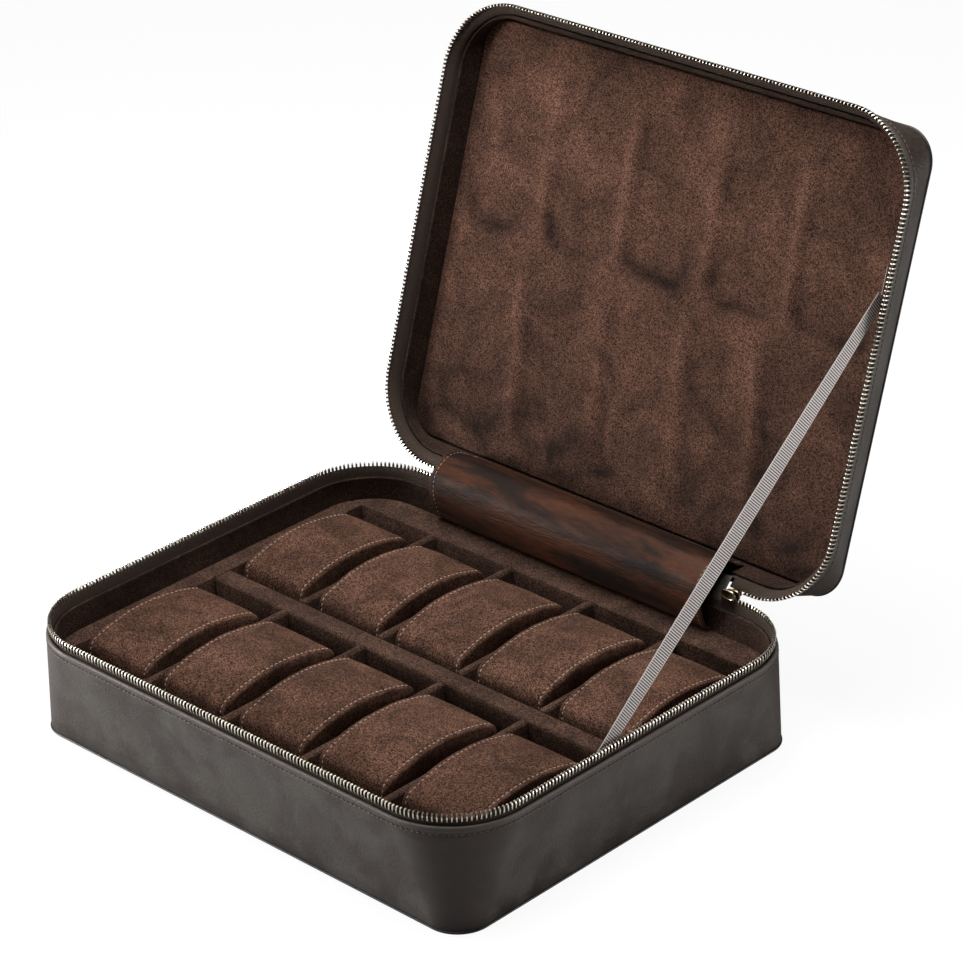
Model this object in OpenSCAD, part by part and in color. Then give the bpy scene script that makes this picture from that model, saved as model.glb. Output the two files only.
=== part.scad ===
// Zip-round watch travel case: a leather-covered board base and lid, joined at the back by
// leather hinges, with a divided suede tray that holds ten lift-out watch pillows.
// Millimetres. X runs along the front, Y from the front to the hinge, Z up.
// The origin is the middle of the underside. The lid stands open against its stay ribbon.

/* [Case] */
// Width along the front at the base's leather rim
case_w = 320; // [300:1:350]
// Depth from the front to the hinge side at the base's leather rim
case_d = 260; // [248:1:290]
// Height of the base's leather rim above the table
base_h = 58; // [55:0.5:68]
// Depth of the lid from its leather rim to its outer panel
lid_h = 19; // [17.5:0.5:26]
// Corner radius at both rims
rim_r = 45; // [38:1:52]
// How far the base draws in on each side from its rim down to its bottom panel
base_taper = 6.5; // [2:0.5:7.5]
// Corner radius of the base's bottom panel
base_panel_r = 18; // [14:1:34]
// How far the lid's leather rim lies inside the base's, all round
lid_in = 3; // [1.5:0.5:3.5]
// How far the lid draws in on each side from its rim to its outer panel
lid_taper = 4.5; // [2:0.5:6]
// Corner radius of the lid's outer panel
lid_panel_r = 18; // [16:1:34]
// Height between the two leather rims with the case shut, which the zip bridges
rim_gap = 13; // [11.5:0.5:15]
// How far the lid leans open from shut, where the ribbon holds it
lid_open = 108; // [100:1:115]

/* [Walls] */
// Thickness of the side leather
leather_t = 1.2; // [1:0.1:1.4]
// Depth of the leather that is turned in at each rim
turn_h = 7.5; // [6:0.5:8.5]
// Thickness of the bottom and lid panels' leather
panel_t = 1.4; // [1:0.1:1.8]
// Width of the painted edge round each panel
edge_w = 1.6; // [1.2:0.1:2]
// How far that edge stands out beyond the side leather
edge_lip = 0.5; // [0:0.1:0.8]
// Thickness of the board in the walls
board_t = 2.4; // [2:0.1:2.6]
// Thickness of the board under the floor and in the lid's panel
floor_board_t = 2.4; // [1.5:0.1:3]
// Thickness of the suede lining with its backing
lining_t = 1.35; // [1:0.05:2]
// Thickness of the lid's padded suede panel
pad_t = 2.7; // [1.5:0.1:5]
// How far the lining's edge lies below the leather rim
lining_drop = 1.8; // [1:0.1:3]
// Glue line between skins that lie on each other
glue = 0.05; // [0.02:0.01:0.1]

/* [Zip] */
// Thickness of the woven tape
tape_t = 0.8; // [0.6:0.1:1]
// Height of tape that shows above the leather rim
tape_show = 3.6; // [3:0.1:4.2]
// Width of the row of teeth, across the wall
teeth_w = 2.6; // [2.2:0.1:3]
// Gap between the two rows of teeth at the mid plane, with the case shut
teeth_gap = 0.4; // [0.3:0.05:0.6]
// Width left free of tape for the hinge at the back
hinge_w = 194; // [150:1:200]
// Length of the slider
slider_l = 10; // [8:0.5:12]
// Width of the slider, up and down the wall
slider_w = 11; // [10:0.5:12]
// Thickness of each slider plate
slider_t = 1.2; // [1:0.1:1.3]
// Free space between the two slider plates, more than the teeth's width
slider_slot = 3; // [2.9:0.1:3.4]
// Clearance of the tape between the slider's flanges
tape_clear = 0.3; // [0.15:0.05:0.4]
// Radius of the pin that carries the pull
pin_r = 0.7; // [0.6:0.05:0.8]
// Radial clearance of the pull on its pin
pin_clear = 0.08; // [0.05:0.01:0.1]
// Length of the pull below its pin
pull_l = 27; // [18:0.5:30]
// Width of the pull
pull_w = 5; // [4:0.5:7]
// Thickness of the pull
pull_t = 1.2; // [1:0.1:1.6]

/* [Tray] */
// Watch pillows along the front
columns = 5; // [4:1:6]
// Width of the side rails at their tops
side_rail_w = 12; // [8:0.5:16]
// Width of the front and back rails at their tops
end_rail_w = 18.5; // [12:0.5:24]
// Height of the tray's rails and dividers above the floor lining
tray_h = 38; // [32:0.5:40]
// Thickness of the padded long divider
long_t = 12; // [8:0.5:14]
// Thickness of the cross dividers
cross_t = 5; // [3:0.5:6]
// Chamfer along the top of each divider
divider_cut = 1.2; // [0.5:0.1:1.5]
// Clearance where the dividers are halved into each other and butt the rails
halving = 0.15; // [0.05:0.05:0.3]
// Clearance between the rails and the wall lining
rail_clear = 0.3; // [0.2:0.1:1]

/* [Pillows] */
// Space between a pillow and the cell on each side
pillow_side_gap = 2.3; // [1:0.1:4]
// Space between a pillow's back and the cell's back, for a strap's clasp
pillow_back_gap = 12.2; // [8:0.1:20]
// Height of a pillow's sewn edge at the middle of its arch
pillow_h = 47.6; // [44:0.1:50]
// Radius of the arch from front to back
arch_r = 105; // [80:1:160]
// Extra height of the crown between the two sewn edges
crown = 1.8; // [0:0.1:3]
// Distance of each sewn line from the pillow's side
seam_in = 3.2; // [2.5:0.1:5]
// Depth that the stitches draw the suede down along the sewn line
seam_dip = 0.8; // [0.3:0.1:1.2]
// How far the side panels are drawn in at their middle
side_dip = 1.6; // [0.5:0.1:2.5]
// Space between a pillow's front and the cell's front
pillow_front_gap = 5; // [2:0.5:6]
// Clearance under a pillow
pillow_rest = 0.2; // [0.1:0.1:0.5]

/* [Hinge and ribbon] */
// Thickness of the inner hinge leather
inner_hinge_t = 1.2; // [0.8:0.1:1.4]
// How far the inner hinge leather bows in from the back wall when the lid is open
bow = 9.5; // [7:0.5:12]
// How far the inner hinge leather reaches down the lid's wall below its rim
lid_reach = 10; // [8:0.5:11]
// Thickness of the outer hinge leather, skived for its seams
outer_hinge_t = 0.8; // [0.6:0.1:1]
// Width of the stay ribbon
ribbon_w = 8; // [5:0.5:12]
// Thickness of the stay ribbon
ribbon_t = 0.4; // [0.3:0.05:0.6]
// Place of the ribbon's base end, measured from the middle toward the hinge
ribbon_base_y = -27; // [-60:1:20]
// Place of the ribbon's lid end, measured the same way with the case shut
ribbon_lid_y = -40; // [-70:1:10]
// Length of the sewn tab at each end of the ribbon
tab_l = 9; // [6:0.5:12]

/* [Hidden] */
corner_steps = 12;
leather_color = "#2e2622";
edge_color = "#141210";
board_color = "#8a7a63";
suede_color = "#4b3227";
pillow_color = "#5a3c30";
tape_color = "#1b1917";
brass_color = "#a58f5f";
hinge_color = "#4a2c20";
ribbon_color = "#8d8a88";

// Each half is a tub: the height of its panel side and of its rim, how far it draws in at
// the panel, the corner radius there, and how far its rim lies inside the case's outline.
// The lid is drawn upside down as a second tub.
base_tub = [panel_t, base_h, base_taper, base_panel_r, 0];
lid_tub = [base_h - lid_h + panel_t, base_h, lid_taper, lid_panel_r, lid_in];
mid_z = base_h + rim_gap / 2;
hinge_y = case_d / 2;

// Distances in from the leather's face
board_in = leather_t + glue;
seam_slot_in = 2 * leather_t;
lining_in = board_in + board_t + glue;
inner_in = lining_in + lining_t;
tape_in = seam_slot_in + glue;
tape_mid = tape_in + tape_t / 2;

lining_top = base_h - lining_drop;
tape_top = base_h + tape_show;
teeth_top = mid_z - teeth_gap / 2;
floor_z = panel_t + floor_board_t;
tray_z = floor_z + lining_t;
tray_top = tray_z + tray_h;

// Where the tape and the teeth start and end along the back
tape_end = hinge_w / 2 + 3;
slider_x = tape_end + 1.5 + slider_l / 2;
teeth_right = slider_x + slider_l / 2 + 1.5;
stop_l = 4;
stop_x = -tape_end - stop_l / 2 - 0.5;
teeth_left = stop_x - stop_l / 2 - 1;

function share(tub, z) = min(1, max(0, (z - tub[0]) / (tub[1] - tub[0])));
function inset(tub, z) = tub[4] + tub[2] * (1 - share(tub, z));
function radius(tub, z) = tub[3] + (rim_r - tub[4] - tub[3]) * share(tub, z);
function slope(tub) = tub[2] / (tub[1] - tub[0]);
function corner(cx, cy, r, start) = [
    for (i = [0:corner_steps])
        let (a = start + 90 * i / corner_steps)
            [cx + r * cos(a), cy + r * sin(a)]
];

// The tub's outline at height z, moved in by off: all round, and along the zip's run only
function outline(tub, off, z) =
    let (
        r = radius(tub, z) - off,
        hx = case_w / 2 - inset(tub, z) - off - r,
        hy = case_d / 2 - inset(tub, z) - off - r
    )
    concat(
        corner(hx, hy, r, 0), corner(-hx, hy, r, 90),
        corner(-hx, -hy, r, 180), corner(hx, -hy, r, 270)
    );
function zip_run(tub, off, z, left, right) =
    let (
        r = radius(tub, z) - off,
        hx = case_w / 2 - inset(tub, z) - off - r,
        hy = case_d / 2 - inset(tub, z) - off - r
    )
    concat(
        [[left, hy + r]], corner(-hx, hy, r, 90), corner(-hx, -hy, r, 180),
        corner(hx, -hy, r, 270), corner(hx, hy, r, 0), [[right, hy + r]]
    );

// A mesh from one loop of points per station. Each loop has the same count of points.
module skin(loops, closed) {
    m = len(loops[0]);
    n = len(loops);
    points = [for (loop = loops) each loop];
    last = closed ? n - 1 : n - 2;
    sides = [
        for (k = [0:last])
            for (j = [0:m - 1])
                let (
                    k2 = (k + 1) % n,
                    j2 = (j + 1) % m,
                    a = k * m + j,
                    b = k2 * m + j,
                    c = k2 * m + j2,
                    d = k * m + j2
                )
                each [[a, b, c], [a, c, d]]
    ];
    caps = closed ? [] : [
        [for (j = [0:m - 1]) j],
        [for (j = [m - 1:-1:0]) (n - 1) * m + j]
    ];
    polyhedron(points = points, faces = concat(sides, caps), convexity = 6);
}

// A wall skin: a profile of [distance in, height] points, anticlockwise, swept all round
module wall_ring(tub, profile) {
    runs = [for (p = profile) outline(tub, p[0], p[1])];
    skin([
        for (k = [0:len(runs[0]) - 1])
            [for (j = [0:len(profile) - 1]) [runs[j][k][0], runs[j][k][1], profile[j][1]]]
    ], true);
}

// The same, along the zip's run
module zip_strip(tub, profile, left, right) {
    runs = [for (p = profile) zip_run(tub, p[0], p[1], left, right)];
    skin([
        for (k = [0:len(runs[0]) - 1])
            [for (j = [0:len(profile) - 1]) [runs[j][k][0], runs[j][k][1], profile[j][1]]]
    ], false);
}

// A flat sheet that fits the tub's outline over its whole thickness
module sheet(tub, off, low, high) {
    translate([0, 0, low]) linear_extrude(high - low) intersection() {
        polygon(outline(tub, off, low));
        polygon(outline(tub, off, high));
    }
}

// Lid parts are drawn as a second base, turned over onto the zip's mid plane and swung open
module in_lid() {
    translate([0, hinge_y, mid_z])
        rotate([-lid_open, 0, 0])
            mirror([0, 0, 1])
                translate([0, -hinge_y, -mid_z])
                    children();
}
// The place, in the open pose, of a point of the lid: off in from the back's rim line and
// depth beyond the mid plane, with the case shut
function lid_point(off, depth) = [
    hinge_y - off * cos(lid_open) + depth * sin(lid_open),
    mid_z + off * sin(lid_open) + depth * cos(lid_open)
];

// Parts that base and lid share
module side_leather(tub) {
    low = tub[0];
    fold = base_h - turn_h;
    soft = leather_t / 2;
    wall_ring(tub, [
        [0, low], [leather_t, low], [leather_t, fold], [seam_slot_in, fold],
        [seam_slot_in, base_h - soft], [seam_slot_in - soft, base_h], [soft, base_h],
        [0, base_h - soft]
    ]);
}
module panel_edge(tub) {
    low = tub[0] - panel_t;
    wall_ring(tub, [
        [-edge_lip, low], [edge_w - edge_lip, low], [edge_w - edge_lip, tub[0]],
        [-edge_lip, tub[0]]
    ]);
}
module panel_leather(tub) {
    sheet(tub, edge_w - edge_lip, tub[0] - panel_t, tub[0]);
}
module wall_board(tub) {
    fold = base_h - turn_h - glue;
    wall_ring(tub, [
        [board_in, tub[0]], [board_in + board_t, tub[0]],
        [board_in + board_t, fold], [board_in, fold]
    ]);
}
module panel_board(tub) {
    sheet(tub, board_in + board_t + glue, tub[0], tub[0] + floor_board_t);
}
module wall_lining(tub) {
    low = tub[0] + floor_board_t + glue;
    soft = lining_t / 3;
    wall_ring(tub, [
        [lining_in, low], [inner_in, low], [inner_in, lining_top - soft],
        [inner_in - soft, lining_top], [lining_in + soft, lining_top],
        [lining_in, lining_top - soft]
    ]);
}
// The tape leaves its seam at the rim and leans out to the line of the teeth
module zip_tape(tub, left, right) {
    low = base_h - turn_h + glue;
    in_t = tape_in + tape_t;
    zip_strip(tub, [
        [tape_in, low], [in_t, low], [in_t, base_h], [in_t - tub[4], tape_top],
        [tape_in - tub[4], tape_top], [tape_in, base_h]
    ], left, right);
}
module zip_teeth(tub) {
    out = tape_mid - tub[4] - teeth_w / 2;
    cut = teeth_w / 5;
    zip_strip(tub, [
        [out, tape_top], [out + teeth_w, tape_top], [out + teeth_w, teeth_top - cut],
        [out + teeth_w - cut, teeth_top], [out + cut, teeth_top], [out, teeth_top - cut]
    ], teeth_left, teeth_right);
}

// Base
module base_bottom_leather() { color(leather_color) panel_leather(base_tub); }
module base_bottom_edge() { color(edge_color) panel_edge(base_tub); }
module base_side_leather() { color(leather_color) side_leather(base_tub); }
module base_floor_board() { color(board_color) panel_board(base_tub); }
module base_wall_board() { color(board_color) wall_board(base_tub); }
module base_wall_lining() { color(suede_color) wall_lining(base_tub); }
module base_floor_lining() {
    color(suede_color) sheet(base_tub, inner_in + glue, floor_z, tray_z);
}
module base_zip_tape() { color(tape_color) zip_tape(base_tub, -tape_end, tape_end); }
module base_zip_teeth() { color(brass_color) zip_teeth(base_tub); }

// Tray: four padded rails round the cells, a long divider and the cross dividers
cells_in = inset(base_tub, tray_top) + inner_in;
cells_w = case_w - 2 * (cells_in + side_rail_w);
cells_l = case_d - 2 * (cells_in + end_rail_w);
column_pitch = (cells_w + cross_t) / columns;
cell_l = (cells_l - long_t) / 2;
module rail_blank() {
    off = inner_in + rail_clear;
    skin([
        for (z = [tray_z, tray_top])
            [for (p = outline(base_tub, off, z)) [p[0], p[1], z]]
    ], false);
}
module rail_end(side) {
    color(suede_color) intersection() {
        rail_blank();
        translate([-case_w / 2, side > 0 ? cells_l / 2 : -case_d, 0])
            cube([case_w, case_d - cells_l / 2, base_h]);
    }
}
module rail_side(side) {
    color(suede_color) intersection() {
        rail_blank();
        translate([side > 0 ? cells_w / 2 : -case_w, -cells_l / 2 + halving, 0])
            cube([case_w - cells_w / 2, cells_l - 2 * halving, base_h]);
    }
}
module divider(length, thickness) {
    half = thickness / 2;
    translate([length / 2, 0, tray_z]) rotate([90, 0, -90]) linear_extrude(length)
        polygon([
            [-half, 0], [half, 0], [half, tray_h - divider_cut],
            [half - divider_cut, tray_h], [divider_cut - half, tray_h],
            [-half, tray_h - divider_cut]
        ]);
}
function cross_x(i) = (i - columns / 2) * column_pitch;
module tray_rail_front() { rail_end(-1); }
module tray_rail_back() { rail_end(1); }
module tray_rail_left() { rail_side(-1); }
module tray_rail_right() { rail_side(1); }
module tray_long_divider() {
    slot = cross_t + 2 * halving;
    color(suede_color) difference() {
        divider(cells_w - 2 * halving, long_t);
        for (i = [1:columns - 1])
            translate([cross_x(i) - slot / 2, -long_t, tray_z - 1])
                cube([slot, 2 * long_t, tray_h / 2 + 1]);
    }
}
module tray_cross_dividers() {
    slot = long_t + 2 * halving;
    color(suede_color) for (i = [1:columns - 1]) difference() {
        translate([cross_x(i), 0, 0]) rotate([0, 0, 90])
            divider(cells_l - 2 * halving, cross_t);
        translate([cross_x(i) - cross_t, -slot / 2, tray_z + tray_h / 2 - halving])
            cube([2 * cross_t, slot, tray_h]);
    }
}

// Lid
module lid_top_leather() { color(leather_color) in_lid() panel_leather(lid_tub); }
module lid_top_edge() { color(edge_color) in_lid() panel_edge(lid_tub); }
module lid_side_leather() { color(leather_color) in_lid() side_leather(lid_tub); }
module lid_top_board() { color(board_color) in_lid() panel_board(lid_tub); }
module lid_wall_board() { color(board_color) in_lid() wall_board(lid_tub); }
module lid_wall_lining() { color(suede_color) in_lid() wall_lining(lid_tub); }
module lid_zip_tape() {
    color(tape_color) in_lid() zip_tape(lid_tub, teeth_left, teeth_right);
}
module lid_zip_teeth() { color(brass_color) in_lid() zip_teeth(lid_tub); }
module lid_pad() {
    low = lid_tub[0] + floor_board_t;
    color(suede_color) in_lid() sheet(lid_tub, inner_in + glue, low, low + pad_t);
}

// Zip hardware at the right end of the hinge, and the stop at its left end
tape_y = case_d / 2 - tape_mid;
slider_cut = 2.8;
ear_gap = 3.2;
ear_t = 1;
ear_out = 3.6;
pin_y = tape_y + slider_slot / 2 + slider_t + ear_out - pin_r - 0.7;
module zip_slider() {
    plate = [slider_l, slider_t, slider_w];
    wedge = [slider_l * 0.35, slider_slot + slider_t, 2 * (mid_z - tape_top - tape_clear)];
    flange = [slider_l, (slider_slot - tape_t) / 2 - tape_clear, slider_t];
    color(brass_color) translate([slider_x, tape_y, mid_z]) {
        difference() {
            union() {
                cube(wedge, center = true);
                for (side = [-1, 1]) {
                    translate([0, side * (slider_slot + slider_t) / 2, 0])
                        cube(plate, center = true);
                    for (edge = [-1, 1])
                        translate([
                            0, side * (slider_slot - flange[1]) / 2,
                            edge * (slider_w - slider_t) / 2
                        ])
                            cube(flange, center = true);
                }
            }
            for (side = [-1, 1]) for (edge = [-1, 1])
                translate([side * slider_l / 2, 0, edge * slider_w / 2]) rotate([0, 45, 0])
                    cube([slider_cut, 3 * slider_slot, slider_cut], center = true);
        }
        for (side = [-1, 1])
            translate([
                side * (ear_gap + ear_t) / 2, (slider_slot + slider_t + ear_out) / 2, 0
            ])
                cube([ear_t, ear_out + slider_t, 2 * pin_r + 1.4], center = true);
        translate([0, pin_y - tape_y, 0]) rotate([0, 90, 0])
            cylinder(r = pin_r, h = ear_gap + ear_t, center = true, $fn = 48);
    }
}
module zip_pull() {
    eye_r = pin_r + pin_clear;
    eye_w = ear_gap - 0.4;
    wide = pull_w / 2;
    color(brass_color) translate([slider_x, pin_y, mid_z]) difference() {
        union() {
            rotate([0, 90, 0]) cylinder(r = eye_r + 1.1, h = eye_w, center = true, $fn = 48);
            translate([-eye_w / 2, -pull_t / 2, -5]) cube([eye_w, pull_t, 5]);
            translate([-wide, -pull_t / 2, wide - pull_l]) cube([pull_w, pull_t, pull_l - wide - 4]);
            translate([0, 0, wide - pull_l]) rotate([90, 0, 0])
                cylinder(r = wide, h = pull_t, center = true, $fn = 64);
        }
        rotate([0, 90, 0]) cylinder(r = eye_r, h = pull_w + 2, center = true, $fn = 48);
        translate([0, 0, wide - pull_l + 1]) rotate([90, 0, 0])
            cylinder(r = wide * 0.45, h = pull_t * 2, center = true, $fn = 48);
    }
}
module zip_bottom_stop() {
    tall = 2 * (mid_z - tape_top) - 1;
    color(brass_color) translate([stop_x - stop_l / 2, tape_y - teeth_w / 2, tape_top])
        cube([stop_l, teeth_w, tall]);
}

// Hinge leathers: a curve through points in the Y-Z plane, given a thickness
function curve_at(p, u) =
    let (
        n = len(p) - 1,
        i = min(n - 1, floor(u)),
        t = u - i,
        a = p[max(0, i - 1)],
        b = p[i],
        c = p[i + 1],
        d = p[min(n, i + 2)]
    )
    0.5 * (2 * b + (c - a) * t + (2 * a - 5 * b + 4 * c - d) * t * t
        + (3 * b - a - 3 * c + d) * t * t * t);
function curve_side(p, u, off) =
    let (
        e = 0.02,
        n = len(p) - 1,
        v = curve_at(p, min(n, u + e)) - curve_at(p, max(0, u - e)),
        m = norm(v)
    )
    curve_at(p, u) + off * [v[1], -v[0]] / m;
module leather_strip(p, width, thickness, steps) {
    n = len(p) - 1;
    us = [for (i = [0:steps]) n * i / steps];
    translate([-width / 2, 0, 0]) rotate([90, 0, 90]) linear_extrude(width)
        polygon(concat(
            [for (u = us) curve_side(p, u, thickness / 2)],
            [for (i = [steps:-1:0]) curve_side(p, us[i], -thickness / 2)]
        ));
}
// Both strips are sewn to a wall at each end and bow clear of the rims between
strip_low_z = tray_top + 0.8;
strip_end = rim_gap / 2 + lid_reach;
function back_wall(z) = case_d / 2 - inner_in - inset(base_tub, z) - inner_hinge_t / 2 - 0.1;
function lid_wall(depth) = inner_in + lid_in + inner_hinge_t / 2 + 0.15
    + slope(lid_tub) * (depth - rim_gap / 2);
inner_bow = [
    [back_wall(strip_low_z), strip_low_z],
    [back_wall(strip_low_z) - 0.13 * bow, strip_low_z + 0.42 * bow],
    [back_wall(base_h) - 0.74 * bow, base_h - 0.2 * bow],
    [back_wall(base_h) - bow, mid_z],
    lid_point(0.37 * bow, -1.58 * bow),
    lid_point(1.26 * bow, -0.95 * bow),
    lid_point(1.53 * bow, -0.26 * bow),
    lid_point(1.47 * bow, 0.53 * bow),
    lid_point(1.24 * bow, 1.16 * bow),
    lid_point(lid_wall(strip_end), strip_end)
];
module inner_hinge_leather() {
    color(hinge_color) leather_strip(inner_bow, hinge_w, inner_hinge_t, 54);
}
slot_mid = (seam_slot_in + lining_in) / 2;
outer_bow = [
    [case_d / 2 - slot_mid - slope(base_tub) * (turn_h - 1), base_h - turn_h + 1],
    [case_d / 2 - slot_mid, base_h - 0.3],
    [case_d / 2 - slot_mid + 1, base_h + rim_gap * 0.23],
    lid_point(slot_mid + lid_in, rim_gap / 2 - 3),
    lid_point(slot_mid + lid_in, rim_gap / 2 + 0.3),
    lid_point(slot_mid + lid_in + slope(lid_tub) * (turn_h - 1), rim_gap / 2 + turn_h - 1)
];
module outer_hinge_leather() {
    color(leather_color) leather_strip(outer_bow, hinge_w, outer_hinge_t, 36);
}

// Stay ribbon: taut from the lining's edge in the base to the lining's edge in the lid, with
// a tab sewn to the lining beyond each edge
lining_edge = rim_gap / 2 + lining_drop;
ribbon_low = [ribbon_base_y, lining_top];
ribbon_high = lid_point(hinge_y - ribbon_lid_y, lining_edge);
ribbon_tilt = atan2(ribbon_high[1] - ribbon_low[1], ribbon_high[0] - ribbon_low[0]);
ribbon_enter = 180 - lid_open - ribbon_tilt;
low_half = ribbon_w / 2 / sin(ribbon_tilt);
high_half = ribbon_w / 2 / sin(ribbon_enter);
function ribbon_x(tub) = case_w / 2 - inner_in - inset(tub, lining_top) - 0.1;
// A ribbon's cross cut between two [Y, Z] points, seen in the plane beside the right wall
function ribbon_cut(x, a, b) = [
    [x, a[0], a[1]], [x - ribbon_t, a[0], a[1]], [x - ribbon_t, b[0], b[1]], [x, b[0], b[1]]
];
module stay_ribbon() {
    color(ribbon_color) skin([
        ribbon_cut(
            ribbon_x(lid_tub), lid_point(hinge_y - ribbon_lid_y + high_half, lining_edge),
            lid_point(hinge_y - ribbon_lid_y - high_half, lining_edge)
        ),
        ribbon_cut(
            ribbon_x(base_tub), ribbon_low - [low_half, 0], ribbon_low + [low_half, 0]
        )
    ], false);
}
module ribbon_tab(tub, y, half, angle) {
    run = tab_l * cos(angle);
    drop = tab_l * sin(angle);
    top = lining_top - glue;
    skin([
        ribbon_cut(ribbon_x(tub), [y - half, top], [y + half, top]),
        ribbon_cut(
            ribbon_x(tub) - slope(tub) * drop, [y - run - half, top - drop],
            [y - run + half, top - drop]
        )
    ], false);
}
module ribbon_base_tab() {
    color(ribbon_color) ribbon_tab(base_tub, ribbon_base_y, low_half, ribbon_tilt);
}
module ribbon_lid_tab() {
    color(ribbon_color) in_lid() ribbon_tab(lid_tub, ribbon_lid_y, high_half, ribbon_enter);
}

// Watch pillow: arched front to back, crowned between two sewn edges, its sides drawn in
pillow_w = column_pitch - cross_t - 2 * pillow_side_gap;
pillow_l = cell_l - pillow_front_gap - pillow_back_gap;
half_l = pillow_l / 2;
shoulder = 5;
function arch(y) = pillow_h - y * y / (2 * arch_r);
top_half = half_l - shoulder;
function pillow_profile() = concat(
    [for (i = [0:3]) [(half_l - 2.5) * (2 * i / 3 - 1), 0]],
    [[half_l - 0.6, 2.5], [half_l, 10], [half_l, arch(top_half) * 0.62]],
    [[half_l - 0.5, arch(top_half) - 5.5], [half_l - 2, arch(top_half) - 2]],
    [for (i = [0:10]) let (y = top_half * (1 - i / 5)) [y, arch(y)]],
    [[2 - half_l, arch(top_half) - 2], [0.5 - half_l, arch(top_half) - 5.5]],
    [[-half_l, arch(top_half) * 0.62], [-half_l, 10], [0.6 - half_l, 2.5]]
);
// Stations across the width: [place, how far the profile is drawn in there]
pillow_half = pillow_w / 2;
pillow_stations = [
    [-pillow_half, 2.2], [0.8 - pillow_half, 0.7], [seam_in - 1 - pillow_half, 0.1],
    [seam_in - pillow_half, seam_dip], [seam_in + 1.2 - pillow_half, 0.1],
    [-pillow_half * 0.4, 0], [pillow_half * 0.4, 0],
    [pillow_half - seam_in - 1.2, 0.1], [pillow_half - seam_in, seam_dip],
    [pillow_half - seam_in + 1, 0.1], [pillow_half - 0.8, 0.7], [pillow_half, 2.2]
];
function pillow_loop(station) =
    let (
        u = station[0] / pillow_half,
        draw = station[1],
        mid = pillow_h / 2
    )
    [
        for (p = pillow_profile())
            let (
                upper = max(0, (p[1] - 0.6 * pillow_h) / (0.4 * pillow_h)),
                y = p[0] * (1 - draw / half_l),
                z = mid + (p[1] - mid) * (1 - draw / mid) + crown * (1 - u * u) * upper
            )
            [station[0], y, z]
    ];
module pillow(column, row) {
    loops = [for (s = pillow_stations) pillow_loop(s)];
    m = len(loops[0]);
    n = len(loops);
    middle = [
        [side_dip - pillow_half, 0, pillow_h / 2],
        [pillow_half - side_dip, 0, pillow_h / 2]
    ];
    points = concat([for (loop = loops) each loop], middle);
    sides = [
        for (k = [0:n - 2])
            for (j = [0:m - 1])
                let (a = k * m + j, b = a + m, c = (k + 1) * m + (j + 1) % m, d = c - m)
                each [[a, b, c], [a, c, d]]
    ];
    ends = [
        for (j = [0:m - 1])
            each [
                [j, (j + 1) % m, n * m],
                [(n - 1) * m + (j + 1) % m, (n - 1) * m + j, n * m + 1]
            ]
    ];
    x = (column - (columns - 1) / 2) * column_pitch;
    cell_front = row > 0 ? long_t / 2 : -cells_l / 2;
    color(pillow_color)
        translate([x, cell_front + pillow_front_gap + half_l, tray_z + pillow_rest])
            polyhedron(points = points, faces = concat(sides, ends), convexity = 4);
}

base_bottom_leather();
base_bottom_edge();
base_side_leather();
base_floor_board();
base_wall_board();
base_wall_lining();
base_floor_lining();
base_zip_tape();
base_zip_teeth();
tray_rail_front();
tray_rail_back();
tray_rail_left();
tray_rail_right();
tray_long_divider();
tray_cross_dividers();
zip_slider();
zip_pull();
zip_bottom_stop();
inner_hinge_leather();
outer_hinge_leather();
stay_ribbon();
ribbon_base_tab();
ribbon_lid_tab();
lid_top_leather();
lid_top_edge();
lid_side_leather();
lid_top_board();
lid_wall_board();
lid_wall_lining();
lid_pad();
lid_zip_tape();
lid_zip_teeth();
pillow(0, 0);  // pillow_front_1
pillow(1, 0);  // pillow_front_2
pillow(2, 0);  // pillow_front_3
pillow(3, 0);  // pillow_front_4
pillow(4, 0);  // pillow_front_5
pillow(0, 1);  // pillow_back_1
pillow(1, 1);  // pillow_back_2
pillow(2, 1);  // pillow_back_3
pillow(3, 1);  // pillow_back_4
pillow(4, 1);  // pillow_back_5
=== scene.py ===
# Zip-round watch travel case in dark leather, its lid held open by a stay ribbon over a suede
# tray of ten lift-out watch pillows. Sizes are in millimetres until a mesh is made.
import math
from collections import namedtuple
from math import cos, exp, pi, radians, sin

import bmesh
import bpy
import numpy as np
from mathutils import Matrix, Vector, noise
from mathutils.bvhtree import BVHTree


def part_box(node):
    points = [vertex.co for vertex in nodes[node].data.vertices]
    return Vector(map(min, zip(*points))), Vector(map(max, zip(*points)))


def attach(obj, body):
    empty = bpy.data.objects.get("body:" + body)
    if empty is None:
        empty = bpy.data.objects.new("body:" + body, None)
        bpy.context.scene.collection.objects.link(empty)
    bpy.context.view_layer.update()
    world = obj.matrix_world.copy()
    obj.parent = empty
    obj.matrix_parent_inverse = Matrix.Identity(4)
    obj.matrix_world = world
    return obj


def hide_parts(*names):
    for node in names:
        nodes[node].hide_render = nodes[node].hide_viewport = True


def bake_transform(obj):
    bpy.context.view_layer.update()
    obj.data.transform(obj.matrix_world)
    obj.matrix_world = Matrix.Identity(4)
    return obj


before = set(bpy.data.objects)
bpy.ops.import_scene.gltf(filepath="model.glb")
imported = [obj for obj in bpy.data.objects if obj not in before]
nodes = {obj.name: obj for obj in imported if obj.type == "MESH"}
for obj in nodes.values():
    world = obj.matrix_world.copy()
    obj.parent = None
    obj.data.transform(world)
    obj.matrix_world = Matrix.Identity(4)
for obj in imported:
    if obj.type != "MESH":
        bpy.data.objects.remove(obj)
scene = bpy.context.scene
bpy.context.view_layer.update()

# ------ Camera
# The case is seen from its front right corner and a little above, through a long lens.
def placed(name, data):
    made = bpy.data.objects.new(name, data)
    scene.collection.objects.link(made)
    return made


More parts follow.
